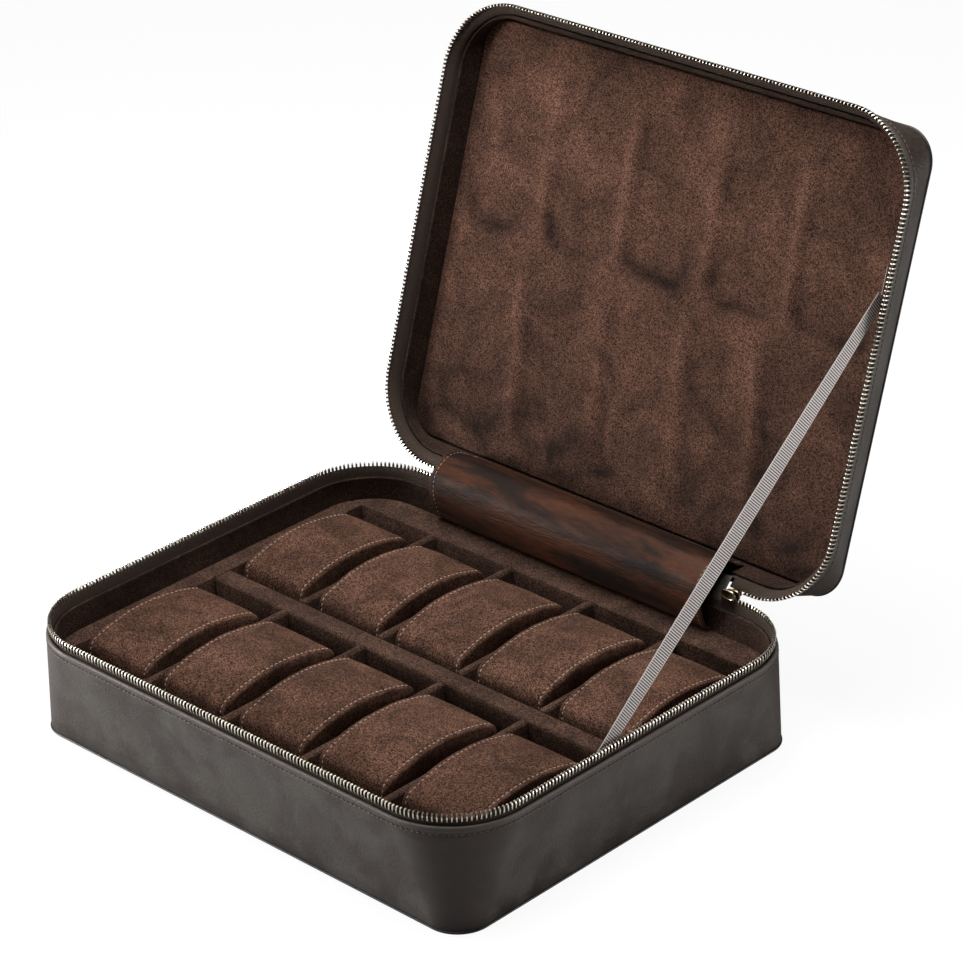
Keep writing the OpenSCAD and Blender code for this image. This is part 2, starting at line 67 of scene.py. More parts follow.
turn, rise, roll = radians(44.6913), radians(26.9308), radians(-1.9993)
camera_place = (1.17888, -1.13505, 0.97430)
back = Vector((sin(turn) * cos(rise), -cos(turn) * cos(rise), sin(rise)))
level = Vector((cos(turn), sin(turn), 0))
upright = back.cross(level)
across = level * cos(roll) + upright * sin(roll)
upward = upright * cos(roll) - level * sin(roll)
camera = placed("camera", bpy.data.cameras.new("camera"))
camera.data.lens, camera.data.sensor_width = 137.4967, 36
camera.data.clip_start, camera.data.clip_end = 0.05, 30
camera.matrix_world = (
    Matrix.Translation(camera_place) @ Matrix((across, upward, back)).transposed().to_4x4()
)
scene.camera = camera

# ------ Table and light
# A white table in a white room that gives little light: a soft box overhead, one at the front
# left, and two low ones that graze the front and the right side.
scene.view_settings.view_transform = "Standard"


def put(tree, kind, inputs=None, **settings):
    """One node with its settings, its inputs given by socket name or number. A value may be a
    number, a colour, a socket, or a node, whose first output is then meant."""
    node = tree.nodes.new(kind)
    for name, value in settings.items():
        setattr(node, name, value)
    for name, value in (inputs or {}).items():
        socket = node.inputs[name]
        value = value.outputs[0] if isinstance(value, bpy.types.Node) else value
        if isinstance(value, bpy.types.NodeSocket):
            tree.links.new(value, socket)
        else:
            socket.default_value = (*value, 1) if socket.type == "RGBA" else value
    return node


def calc(tree, operation, *values, clamp=False):
    inputs = dict(enumerate(values))
    return put(tree, "ShaderNodeMath", inputs, operation=operation, use_clamp=clamp).outputs[0]


def remap(tree, value, low, high, to_low=0, to_high=1, kind="LINEAR"):
    """A value between low and high, mapped onto another range and kept inside it."""
    inputs = {0: value, 1: low, 2: high, 3: to_low, 4: to_high}
    return put(tree, "ShaderNodeMapRange", inputs, interpolation_type=kind).outputs[0]


def empty_material(name):
    made = bpy.data.materials.new(name)
    made.use_nodes = True
    made.node_tree.nodes.clear()
    return made, made.node_tree


table, tree = empty_material("white_table")
camera_ray = put(tree, "ShaderNodeLightPath").outputs["Is Camera Ray"]
matt = put(tree, "ShaderNodeBsdfDiffuse", {"Color": (0.5, 0.5, 0.5)})
white = put(tree, "ShaderNodeEmission", {"Color": (1, 1, 1), "Strength": 1.16})
share = calc(tree, "MULTIPLY", camera_ray, 0.8)
mixed = put(tree, "ShaderNodeMixShader", {0: share, 1: matt, 2: white})
put(tree, "ShaderNodeOutputMaterial", {"Surface": mixed})

floor_mesh = bpy.data.meshes.new("table_top")
floor_half, floor_z = 8, -0.0002
corners = ((-1, -1), (1, -1), (1, 1), (-1, 1))
corners = [(x * floor_half, y * floor_half, floor_z) for x, y in corners]
floor_mesh.from_pydata(corners, [], [(0, 1, 2, 3)])
floor_mesh.materials.append(table)
placed("table_top", floor_mesh)

world = bpy.data.worlds.new("room")
scene.world = world
world.use_nodes = True
tree = world.node_tree
tree.nodes.clear()
camera_ray = put(tree, "ShaderNodeLightPath").outputs["Is Camera Ray"]
strength = remap(tree, camera_ray, 0, 1, 0.05, 1)
sky = put(tree, "ShaderNodeBackground", {"Color": (1, 1, 1), "Strength": strength})
put(tree, "ShaderNodeOutputWorld", {"Surface": sky})

for name, place, aim, size, watts in (
    ("light_overhead", (-0.1, 0.0, 1.1), (0, 0.02, 0.05), 0.75, 15),
    ("light_front_left", (-1.0, -1.5, 1.3), (0, 0, 0.1), 0.9, 4.5),
    ("light_low_left", (-0.8, -0.62, 0.15), (-0.1, -0.13, 0.03), 0.28, 11.5),
    ("light_low_right", (1.0, 0.6, 0.2), (0.16, 0.1, 0.05), 0.4, 5.3),
):
    lamp = bpy.data.lights.new(name, "AREA")
    lamp.shape, lamp.size, lamp.energy = "SQUARE", size, watts
    made = placed(name, lamp)
    made.location = place
    made.rotation_euler = (Vector(aim) - Vector(place)).to_track_quat("-Z", "Y").to_euler()

# ------ Side leather of the base
# One strip of waxed dark hide, turned in over the rim and sewn 4 mm below it. Each half of the
# case is a tub: the height of its panel side, how far it draws in there, and how far its rim
# is set in. The lid's tub is drawn as a second base.
mm = 0.001
case_w, case_d, base_h = 320, 260, 58
rim_r, panel_r = 45, 18
mid_z, hinge_y, lid_swing = base_h + 6.5, case_d / 2, radians(108)
swing_cos, swing_sin = cos(lid_swing), sin(lid_swing)
Tub = namedtuple("Tub", "low draw inward")
base_tub, lid_tub = Tub(1.4, 6.5, 0), Tub(base_h - 17.6, 4.5, 3)
bend_steps, straight_steps = 22, 26


def rise_share(tub, z):
    return min(1, max(0, (z - tub.low) / (base_h - tub.low)))


def inset(tub, z):
    return tub.inward + tub.draw * (1 - rise_share(tub, z))


def radius(tub, z):
    return panel_r + (rim_r - tub.inward - panel_r) * rise_share(tub, z)


def outline(tub, off, z, ends=None):
    """The tub's outline at one height, moved in by off; with ends, the zip's run between them."""
    r = radius(tub, z) - off
    hx, hy = case_w / 2 - inset(tub, z) - off - r, case_d / 2 - inset(tub, z) - off - r

    def arc(cx, cy, start):
        a = np.radians(start + 90 * np.arange(bend_steps + 1) / bend_steps)
        return np.stack([cx + r * np.cos(a), cy + r * np.sin(a)], 1)

    arcs = [arc(hx, hy, 0), arc(-hx, hy, 90), arc(-hx, -hy, 180), arc(hx, -hy, 270)]
    if ends:
        parts = [np.array([[ends[0], hy + r]]), *arcs[1:], arcs[0], np.array([[ends[1], hy + r]])]
    else:
        parts = [*arcs, arcs[0][:1]]
    points = [parts[0]]
    for before, after in zip(parts, parts[1:]):
        f = np.arange(1, straight_steps)[:, None] / straight_steps
        points += [before[-1] * (1 - f) + after[0] * f, after]
    points = np.concatenate(points)
    return points if ends else points[:-1]


def corner_share(count, ends):
    """1 at the middle of each corner, 0 along the straights."""
    hump = list(np.sin(np.pi * np.arange(bend_steps + 1) / bend_steps))
    flat = [0.0] * (straight_steps - 1)
    run = [0.0] + (flat + hump) * 4 + flat + [0.0] if ends else (hump + flat) * 4
    return run[:count]


def at_height(row, z):
    return np.column_stack([row, np.full(len(row), z)])


norm = np.linalg.norm


def distance_along(line):
    step = norm(np.diff(line, axis=0), axis=1)
    return np.concatenate([[0], np.cumsum(step)])


def lid_place(points):
    """Points of the second base, turned over onto the mid plane and swung open."""
    y, z = points[:, 1] - hinge_y, mid_z - points[:, 2]
    y, z = y * swing_cos + z * swing_sin, z * swing_cos - y * swing_sin
    return np.stack([points[:, 0], hinge_y + y, mid_z + z], 1)


def shade_smooth(mesh, sharp=None):
    """Smooth shading, with an edge kept where the faces turn by more than sharp degrees."""
    mesh.polygons.foreach_set("use_smooth", [True] * len(mesh.polygons))
    if sharp:
        mesh.set_sharp_from_angle(angle=radians(sharp))


def as_object(name, points, faces, material=None, uv=None, tub=None, smooth=True, marks=None):
    """A mesh object from points in millimetres, with outward faces."""
    points = np.asarray(points, float)
    if tub is lid_tub:
        points = lid_place(points)
    mesh = bpy.data.meshes.new(name)
    mesh.from_pydata((points * mm).tolist(), [], faces)
    if uv is not None:
        layer = mesh.uv_layers.new(name="UVMap")
        layer.data.foreach_set("uv", np.asarray(uv, np.float32).ravel())
    for mark, values in (marks or {}).items():
        layer = mesh.attributes.new(mark, "FLOAT", "POINT")
        layer.data.foreach_set("value", np.asarray(values, np.float32))
    work = bmesh.new()
    work.from_mesh(mesh)
    bmesh.ops.recalc_face_normals(work, faces=work.faces)
    work.to_mesh(mesh)
    work.free()
    if smooth:
        shade_smooth(mesh)
    if material:
        mesh.materials.append(material)
    return placed(name, mesh)


def swept(name, tub, profile, material, ends=None, lean=None, rolled=None, trim=None):
    """A closed profile of [distance in, height] points carried round the tub."""
    leaning = [(off - (lean(z) if lean else 0), z) for off, z in profile]
    rows = [at_height(outline(tub, off, z, ends), z) for off, z in leaning]
    m, n = len(rows), len(rows[0])
    points = np.concatenate(rows)
    if trim:
        points = trim(points)
    guide = outline(tub, profile[0][0], (profile[0][1] + profile[-1][1]) / 2, ends)
    u = distance_along(np.vstack([guide, guide[:1]])) * mm
    v = distance_along(np.array([*profile, profile[0]], float)) * mm
    faces, uv = [], []
    for j in range(m):
        for k in range(n - 1 if ends else n):
            j2, k2 = (j + 1) % m, (k + 1) % n
            faces.append((j * n + k, j * n + k2, j2 * n + k2, j2 * n + k))
            uv += [(u[k], v[j]), (u[k + 1], v[j]), (u[k + 1], v[j + 1]), (u[k], v[j + 1])]
    if ends:
        for k in (0, n - 1):
            faces.append(tuple(j * n + k for j in range(m)))
            uv += [(u[k], v[j]) for j in range(m)]
    worn = np.repeat(rolled if rolled else [0.0] * m, n)
    # The corner mark is what paints shade round the corners of the case hide.
    marks = {"corner": corner_share(n, ends) * m, "rolled": worn}
    return as_object(name, points, faces, material, uv, tub, marks=marks)


def fit(piece, node, body):
    """Hides the CAD node that a piece stands for, if any, and puts the piece on its body."""
    if node:
        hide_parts(node)
    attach(piece, body)


def new_group(name, kind, takes, gives):
    """A node group and its inputs, with the names and kinds of its sockets."""
    group = bpy.data.node_groups.new(name, kind + "NodeTree")
    if kind == "Geometry":
        group.is_modifier = True
    for way, sockets in (("INPUT", takes), ("OUTPUT", gives)):
        for socket, holds in sockets.items():
            group.interface.new_socket(socket, in_out=way, socket_type="NodeSocket" + holds)
    return group, put(group, "NodeGroupInput").outputs


def cloud(tree, scale, detail, place=None, **more):
    """A noise on the piece's own coordinates, or on another place."""
    inputs = {"Vector": place or own_place(tree), "Scale": scale, "Detail": detail, **more}
    return put(tree, "ShaderNodeTexNoise", inputs).outputs["Fac"]


def mix(tree, share, first, second, way="MIX"):
    inputs = {0: share, 6: first, 7: second}
    return put(tree, "ShaderNodeMix", inputs, data_type="RGBA", blend_type=way).outputs[2]


def scaled(tree, vector, share):
    """A colour or a vector times a number."""
    inputs = {0: vector, "Scale": share}
    return put(tree, "ShaderNodeVectorMath", inputs, operation="SCALE").outputs[0]


def own_place(tree):
    return put(tree, "ShaderNodeTexCoord").outputs["Object"]


def mark_on(tree, name):
    return put(tree, "ShaderNodeAttribute", attribute_name=name).outputs["Fac"]


def surface(tree, color, rough, height, strength, depth, **more):
    """A surface with a bump. The names of more are socket names with _ for a space."""
    bump = put(tree, "ShaderNodeBump", {"Height": height, "Strength": strength, "Distance": depth})
    inputs = {"Base Color": color, "Roughness": rough, "Normal": bump}
    inputs.update({name.replace("_", " "): value for name, value in more.items()})
    shade = put(tree, "ShaderNodeBsdfPrincipled", inputs)
    put(tree, "ShaderNodeOutputMaterial", {"Surface": shade})


# Waxed hide: patches of wax over a warmer ground, fine pebble, pores and scuffs.
waxed_hide, give = new_group("waxed_hide", "Shader", {
    "Place": "Vector", "Ground": "Color", "Wax": "Color", "Patch Size": "Float",
    "Pebble Size": "Float", "Painted Shade": "Float",
}, {"Color": "Color", "Roughness": "Float", "Height": "Float"})
tree, place = waxed_hide, give["Place"]
patch = calc(tree, "DIVIDE", 1, give["Patch Size"])
pebble = calc(tree, "DIVIDE", 1, give["Pebble Size"])
clouds = cloud(tree, patch, 4, place, Roughness=0.62, Distortion=0.4)
flecks = cloud(tree, calc(tree, "MULTIPLY", patch, 9), 3, place, Roughness=0.7)
pores = cloud(tree, pebble, 2, place)
inputs = {"Vector": place, "Scale": pebble, "Smoothness": 0.6}
cells = put(tree, "ShaderNodeTexVoronoi", inputs, feature="SMOOTH_F1").outputs["Distance"]
# The last input takes the paler wax away so that the darker ground shows: painted shade, given
# round the case's corners.
kept = calc(tree, "SUBTRACT", 1, give["Painted Shade"], clamp=True)
wax = calc(tree, "MULTIPLY", remap(tree, clouds, 0.36, 0.64, kind="SMOOTHSTEP"), kept)
fleck = remap(tree, flecks, 0.3, 0.7, 0.8, 1.22)
color = scaled(tree, mix(tree, wax, give["Ground"], give["Wax"]), fleck)
rough = remap(tree, flecks, 0.3, 0.7, -0.05, 0.07)
rough = calc(tree, "ADD", rough, remap(tree, wax, 0, 1, 0.50, 0.62), clamp=True)
relief = calc(tree, "MULTIPLY_ADD", cells, 0.8, pores)
put(tree, "NodeGroupOutput", {"Color": color, "Roughness": rough, "Height": relief})


def hide_material(name, ground, wax, patch, corner_shade_tone, rolled_tone, gloss, relief, streak=1):
    """Hide with painted shade round the corners and a paler line where it is rolled."""
    made, tree = empty_material(name)
    drawn = {0: own_place(tree), 1: (streak, 1, 1)}
    place = put(tree, "ShaderNodeVectorMath", drawn, operation="MULTIPLY")
    # Painted shade round the corners: less of the paler wax there, and the colour darkened by the
    # corner tone.
    corner = mark_on(tree, "corner")
    hide = put(tree, "ShaderNodeGroup", {
        "Place": place, "Ground": ground, "Wax": wax, "Patch Size": patch, "Pebble Size": 0.0011,
        "Painted Shade": calc(tree, "MULTIPLY", corner, 0.55),
    }, node_tree=waxed_hide).outputs
    tone = mix(tree, corner, hide["Color"], corner_shade_tone, "MULTIPLY")
    edge = mix(tree, mark_on(tree, "rolled"), tone, rolled_tone)
    surface(
        tree, edge, hide["Roughness"], hide["Height"], relief, 0.0004, Specular_IOR_Level=gloss,
    )
    return made


# The case's corners carry painted shade, their colour darkened to (0.64, 0.47, 0.42).
case_hide = hide_material(
    "case_hide", (0.032, 0.022, 0.017), (0.062, 0.053, 0.045), 0.032, (0.64, 0.47, 0.42),
    (0.075, 0.058, 0.048), 0.5, 0.4,
)
sewn_z, turned_r = base_h - 4, 1.2
rolled_rim = [
    (turned_r * (1 - cos(a)), base_h - turned_r * (1 - sin(a)))
    for a in np.radians([0, 22, 45, 68, 90, 112, 135, 158, 180])
]
# The rolled rim is painted paler along its top: partly wear, partly a painted highlight.
rim_wear_and_highlight = [0.55, 0.85, 1, 1, 0.7, 0.5, 0.3, 0.2, 0.1]


def side_hide(name, tub):
    """Wall, sewn crease, rolled rim and the turned-in leaf, as one strip."""
    low = tub.low
    rise = [(0, low + 0.25 + (sewn_z - 1.7 - low) * k / 6) for k in range(7)]
    crease = [(0, -0.9), (0.16, -0.4), (0.26, 0), (0.16, 0.4), (-0.1, 1), (-0.14, 1.9)]
    wall = [(0.25, low), *rise, *[(off, sewn_z + z) for off, z in crease]]
    leaf = [(2.4, sewn_z), (2.4, sewn_z - 3.5), (1.2, sewn_z - 3.5), (1.2, low)]
    # Paler on the rim and on the crease just under it: wear and a painted highlight.
    worn = [0.0] * (len(wall) - 2) + [0.25, 0.5] + rim_wear_and_highlight + [0.0] * len(leaf)
    return swept(name, tub, wall + rolled_rim + leaf, case_hide, rolled=worn)


fit(side_hide("base_side", base_tub), "base_side_leather", "base")


def row_along(tree, give, low, high, play, seed, one, scale=(1, 1, 1), **upright):
    """One of a thing for each pitch along a line, turned to follow the line with some play."""
    line = put(tree, "GeometryNodeMeshToCurve", {"Mesh": give["Line"]})
    inputs = {"Curve": line, "Length": give["Pitch"]}
    spots = put(tree, "GeometryNodeCurveToPoints", inputs, mode="LENGTH").outputs
    inputs = {"Vector": spots["Tangent"]}
    along = put(tree, "FunctionNodeAlignRotationToVector", inputs, axis="X", **upright)
    inputs = {"Min": scaled(tree, low, play), "Max": scaled(tree, high, play), "Seed": seed}
    jitter = put(tree, "FunctionNodeRandomValue", inputs, data_type="FLOAT_VECTOR")
    tilt = put(tree, "FunctionNodeEulerToRotation", {"Euler": jitter})
    inputs = {"Rotation": along, "Rotate By": tilt}
    turn = put(tree, "FunctionNodeRotateRotation", inputs, rotation_space="LOCAL")
    inputs = {"Points": spots["Points"], "Instance": one, "Rotation": turn, "Scale": scale}
    row = put(tree, "GeometryNodeInstanceOnPoints", inputs)
    return put(tree, "GeometryNodeRealizeInstances", {"Geometry": row})


def in_material(tree, shape, material, result):
    """The last two nodes of a tree that makes pieces."""
    inputs = {"Geometry": shape, "Material": material}
    made = put(tree, "GeometryNodeSetMaterial", inputs)
    put(tree, "NodeGroupOutput", {result: made})


# Stitches along a line: one slim bead of thread for each pitch, each a little different.
stitch_row, give = new_group("stitch_row", "Geometry", {
    "Line": "Geometry", "Pitch": "Float", "Length": "Float", "Thickness": "Float",
    "Slant": "Float", "Thread": "Material",
}, {"Stitches": "Geometry"})
tree = stitch_row
bead = put(tree, "GeometryNodeMeshUVSphere", {"Segments": 6, "Rings": 5, "Radius": 0.5})
inputs = {"X": give["Length"], "Y": give["Thickness"], "Z": give["Thickness"]}
size = put(tree, "ShaderNodeCombineXYZ", inputs)
inputs = {"Geometry": bead, "Scale": size}
bead = put(tree, "GeometryNodeTransform", inputs)
inputs = {"Min": (0.86, 0.9, 0.9), "Max": (1.06, 1.08, 1.08), "Seed": 8}
swell = put(tree, "FunctionNodeRandomValue", inputs, data_type="FLOAT_VECTOR")
slant, low, high = give["Slant"], (0, -0.3, -1), (0, 0.3, -0.4)
row = row_along(tree, give, low, high, slant, 3, bead, swell)
row = put(tree, "GeometryNodeSetShadeSmooth", {"Geometry": row})
in_material(tree, row, give["Thread"], "Stitches")


def plain_mesh(made):
    """An object's mesh as its modifiers leave it."""
    graph = bpy.context.evaluated_depsgraph_get()
    return bpy.data.meshes.new_from_object(made.evaluated_get(graph))


def grown(name, tree, lines, values):
    """What a Geometry Nodes tree makes on some lines of points in metres, as a plain mesh."""
    points, edges = [], []
    for line, closed in lines:
        first = len(points)
        points += [tuple(p) for p in line]
        edges += [(first + k, first + k + 1) for k in range(len(line) - 1)]
        if closed:
            edges.append((len(points) - 1, first))
    mesh = bpy.data.meshes.new(name + "_line")
    mesh.from_pydata(points, edges, [])
    guide = placed(name + "_line", mesh)
    work = guide.modifiers.new("row", "NODES")
    work.node_group = tree
    sockets = {s.name: s.identifier for s in tree.interface.items_tree if s.in_out == "INPUT"}
    for socket, value in values.items():
        work[sockets[socket]] = value
    guide.update_tag()
    made = placed(name, plain_mesh(guide))
    made.data.name = name
    bpy.data.objects.remove(guide)
    return made


def stitched(name, lines, pitch, length, thickness, slant, thread):
    return grown(name, stitch_row, lines, {
        "Pitch": pitch, "Length": length, "Thickness": thickness, "Slant": slant, "Thread": thread,
    })


def thread_material(name, color):
    """Waxed thread, with fine light and dark along its plies."""
    made, tree = empty_material(name)
    ply = cloud(tree, 2600, 1)
    shade = scaled(tree, color, remap(tree, ply, 0.3, 0.7, 0.6, 1.25))
    surface(tree, shade, 0.62, ply, 0.4, 0.0001)
    return made


hide_thread = thread_material("hide_thread", (0.115, 0.082, 0.055))


def rim_stitches(name, tub):
    line = at_height(outline(tub, 0.02, sewn_z), sewn_z)
    line = (lid_place(line) if tub is lid_tub else line) * mm
    return stitched(name, [(line, True)], 0.003, 0.0023, 0.00062, 0.09, hide_thread)


fit(rim_stitches("base_side_stitches", base_tub), None, "base")

# ------ Bottom panel and its edge
# A flat leather panel glued under the base. Its edge is a painted and burnished bead that
# stands a little proud of the side leather.
edge_paint, tree = empty_material("edge_paint")
brush = cloud(tree, 260, 3)
worn = remap(tree, brush, 0.45, 0.75, kind="SMOOTHSTEP")
tone = mix(tree, worn, (0.0055, 0.0045, 0.004), (0.016, 0.011, 0.009))
surface(tree, tone, remap(tree, brush, 0, 1, 0.3, 0.62), brush, 0.35, 0.0002)
bead_h = 1.4


def painted_bead(name, tub):
    low, half = tub.low - bead_h, bead_h / 2
    angles = np.radians(np.arange(-90, 91, 22.5))
    soft = [(0.3 - 0.8 * cos(a), low + half + half * sin(a)) for a in angles]
    return swept(name, tub, [(1.1, low), *soft, (1.1, low + bead_h)], edge_paint)


def finished_node(name, material):
    """A CAD piece whose shape is kept and whose material is better."""
    nodes[name].data.materials.clear()
    nodes[name].data.materials.append(material)


fit(painted_bead("base_bottom_bead", base_tub), "base_bottom_edge", "base")
finished_node("base_bottom_leather", case_hide)

# ------ Boards
# Grey-brown board stiffens the walls, the floor and the lid. It is covered on both faces.
board, tree = empty_material("board")
fibre = cloud(tree, 60, 5, Distortion=1.2)
pulp = calc(tree, "MULTIPLY_ADD", cloud(tree, 900, 3), 0.5, fibre)
color = mix(tree, remap(tree, pulp, 0.5, 1), (0.16, 0.12, 0.08), (0.31, 0.25, 0.18))
surface(tree, color, 0.9, pulp, 0.3, 0.0003)
for name in ("base_floor_board", "base_wall_board", "lid_top_board", "lid_wall_board"):
    finished_node(name, board)

# ------ Base linings
# Brown suede glued over the boards. The wall lining's top edge is turned and stops just
# under the rim; the floor lining is a plain sheet below the tray.

# Suede: hand marks where the nap lies another way, and a short tufted grain.
suede_nap, give = new_group("suede_nap", "Shader", {
    "Place": "Vector", "Deep": "Color", "Raised": "Color", "Mark Size": "Float",
    "Tuft Size": "Float", "Painted Shading": "Float",
}, {"Color": "Color", "Height": "Float"})
tree, place = suede_nap, give["Place"]
mark = calc(tree, "DIVIDE", 1, give["Mark Size"])
tuft = calc(tree, "DIVIDE", 1, give["Tuft Size"])
tufts = put(tree, "ShaderNodeTexVoronoi", {"Vector": place, "Scale": tuft})
each = put(tree, "ShaderNodeSeparateColor", {0: tufts.outputs["Color"]}).outputs[0]
grain = mix(tree, calc(tree, "POWER", each, 1.3), give["Deep"], give["Raised"])
wide = cloud(tree, mark, 3.5, place, Roughness=0.6, Distortion=0.8)
# The last input is painted shade where positive and painted light where negative.
lay = calc(tree, "SUBTRACT", remap(tree, wide, 0.32, 0.68, 0.58, 1.28), give["Painted Shading"])
color = scaled(tree, grain, calc(tree, "MAXIMUM", lay, 0.12))
put(tree, "NodeGroupOutput", {"Color": color, "Height": each})


def suede_material(name, deep, raised, mark):
    made, tree = empty_material(name)
    # A piece's painted shading mark darkens its nap, and lightens it where negative; only the lid
    # pad's is not zero.
    nap = put(tree, "ShaderNodeGroup", {
        "Place": own_place(tree), "Deep": deep, "Raised": raised, "Mark Size": mark,
        "Tuft Size": 0.0005, "Painted Shading": mark_on(tree, "painted_shading"),
    }, node_tree=suede_nap).outputs
    surface(
        tree, nap["Color"], 0.95, nap["Height"], 0.5, 0.0004, Specular_IOR_Level=0.12,
        Sheen_Weight=0.05, Sheen_Roughness=0.55, Sheen_Tint=(0.5, 0.34, 0.27),
    )
    return made


lining_suede = suede_material("lining_suede", (0.009, 0.005, 0.003), (0.066, 0.036, 0.025), 0.03)


def wall_suede(name, tub):
    low, top = tub.low + 2.45, base_h - 1.8
    outer, inner = 3.7, 5.05
    wall = [(inner, low + (top - 1.2 - low) * k / 6) for k in range(7)]
    fold = [(5.17, -0.7), (4.8, -0.15), (4.35, 0), (3.95, -0.2), (outer, -0.8)]
    fold = [(off, top + z) for off, z in fold]
    return swept(name, tub, [(outer, low), *wall, *fold], lining_suede)


fit(wall_suede("base_lining", base_tub), "base_wall_lining", "base")


def grid_faces(rows, columns):
    """The faces of a grid of points, and the points round its edge in order."""
    grid = np.arange(rows * columns).reshape(rows, columns)
    rim = np.concatenate([grid[0], grid[1:, -1], grid[-1, -2::-1], grid[-2:0:-1, 0]])
    faces = np.stack([grid[:-1, :-1], grid[:-1, 1:], grid[1:, 1:], grid[1:, :-1]], -1)
    return faces.reshape(-1, 4).tolist(), rim.tolist()


def ring_faces(upper, lower):
    """The faces between two closed rings of points."""
    n = len(upper)
    return [(upper[k], upper[(k + 1) % n], lower[(k + 1) % n], lower[k]) for k in range(n)]


def cut_sheet(name, tub, off, low, thick, soft, step, lift, material):
    """A sheet cut to the tub's outline. lift(x, y) is what its top adds and the painted shade its
    colour takes, painted light where that is negative.
    """
    r = radius(tub, low) - off
    hx, hy = case_w / 2 - inset(tub, low) - off, case_d / 2 - inset(tub, low) - off
    near = np.array([0, 0.12, 0.35, 0.7, 1.2, 2, 3.2])
    bend = hy - r + r * np.sin(np.radians(np.arange(6, 84, 6)))
    ys = set(np.round(hy - near, 4)) | set(np.round(bend, 4))
    straight = np.linspace(-(hy - r), hy - r, int(2 * (hy - r) / step))
    ys = sorted(ys | {-y for y in ys} | set(np.round(straight, 4)))
    inner = np.linspace(-1, 1, int(2 * hx / step))
    rows = []
    for y in ys:
        over = max(0, abs(y) - (hy - r))
        half = hx - r + math.sqrt(max(0, r * r - over * over)) if over else hx
        xs = np.concatenate([-half + near[:-1], inner * (half - near[-1]), half - near[:-1][::-1]])
        rows.append(at_height(xs, y))
    flat = np.concatenate(rows)
    q = np.abs(flat) - [hx - r, hy - r]
    inside = r - norm(np.maximum(q, 0), axis=1) - np.minimum(q.max(1), 0)
    inside = np.clip(inside, 0, None)
    edge = np.clip(soft - inside, 0, soft)
    top = thick - soft + np.sqrt(np.maximum(soft * soft - edge * edge, 0))
    extra, painted_shading = zip(*[lift(x, y) for x, y in flat])
    fade = np.clip(inside / 3.0, 0, 1)
    top = low + top + np.array(extra) * fade
    faces, rim = grid_faces(len(rows), len(rows[0]))
    points = np.vstack([np.column_stack([flat, top]), at_height(flat[rim], low)])
    under = tuple(range(len(flat), len(points)))
    faces += ring_faces(rim, under) + [under]
    marks = {"painted_shading": np.concatenate([painted_shading, np.zeros(len(rim))])}
    return as_object(name, points, faces, material, tub=tub, marks=marks)


def wobble(x, y, z):
    return noise.noise(Vector((x, y, z)))


def slight_waves(x, y):
    return -0.12 * abs(wobble(x / 40, y / 40, 3)), 0.0


floor_lining = cut_sheet(
    "floor_lining", base_tub, 5.25, 3.8, 1.35, 0.3, 9, slight_waves, lining_suede,
)
fit(floor_lining, "base_floor_lining", "base")

# ------ Tray rails and dividers
# Board wrapped in thin foam and suede. The four rails are glued in, the long divider and the
# cross dividers are halved into each other between them.
tray_suede = suede_material("tray_suede", (0.014, 0.007, 0.005), (0.128, 0.071, 0.049), 0.022)


def softened(name, node, width, material, segments=4, limit=30, sharp=None):
    """The CAD piece's form with its edges rounded, as cloth over foam and castings have."""
    mesh = nodes[node].data.copy()
    mesh.name = name
    work = bmesh.new()
    work.from_mesh(mesh)
    bmesh.ops.remove_doubles(work, verts=work.verts, dist=1e-6)
    bmesh.ops.dissolve_limit(work, angle_limit=radians(1), verts=work.verts, edges=work.edges)
    work.to_mesh(mesh)
    work.free()
    made = placed(name, mesh)
    soften = made.modifiers.new("soften", "BEVEL")
    soften.width, soften.segments = width, segments
    soften.limit_method, soften.angle_limit = "ANGLE", radians(limit)
    soften.harden_normals = not sharp
    final = plain_mesh(made)
    made.modifiers.clear()
    made.data = final
    bpy.data.meshes.remove(mesh)
    final.name = name
    final.materials.clear()
    final.materials.append(material)
    shade_smooth(final, sharp)
    return made


for piece, soft in (
    ("rail_front", 0.0014), ("rail_back", 0.0014), ("rail_left", 0.0014), ("rail_right", 0.0014),
    ("long_divider", 0.001), ("cross_dividers", 0.0008),
):
    made = softened(piece, "tray_" + piece, soft, tray_suede)
    fit(made, "tray_" + piece, "base")

# ------ Watch pillows
# Ten foam blocks sewn in suede: one band runs over the arch and round the front and back, a
# panel closes each side, and a row of stitches runs over the arch beside each side seam.
pillow_suede = suede_material("pillow_suede", (0.014, 0.006, 0.004), (0.190, 0.096, 0.062), 0.022)
pillow_thread = thread_material("pillow_thread", (0.46, 0.33, 0.26))


def box_mm(node):
    return [corner * 1000 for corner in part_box(node)]


pillow_low, pillow_high = box_mm("pillow_front_3")
half_w, half_l = (pillow_high.x - pillow_low.x) / 2, (pillow_high.y - pillow_low.y) / 2
seam = half_w - 3.2
pillow_h, side_mid_z, most_swell = 47, 22, 0.0013


def arch_loop(step):
    """The band's path: flat under the pillow, up the back, over the arch and down the front."""
    top = lambda y: 47.6 - y * y / 210
    flank = [(0.6, 2.5), (0, 10), (0, 25), (0.4, 35.5), (1.8, top(36) - 1.6)]
    key = [(y, 0) for y in np.linspace(-half_l + 2.5, half_l - 2.5, 8)]
    key += [(half_l - off, z) for off, z in flank]
    key += [(y, top(y)) for y in np.linspace(36.3, -36.3, 25)]
    key += [(off - half_l, z) for off, z in flank[::-1]]
    key = np.array(key + key[:1])
    run = distance_along(key)
    s = np.arange(0, run[-1] - step / 2, run[-1] / round(run[-1] / step))
    return np.column_stack([np.interp(s, run, key[:, 0]), np.interp(s, run, key[:, 1])])


def tube_faces(rings, around):
    """The faces between rings of points, each ring closed."""
    all_rings = [range(k * around, (k + 1) * around) for k in range(rings)]
    return [face for pair in zip(all_rings, all_rings[1:]) for face in ring_faces(*pair)]


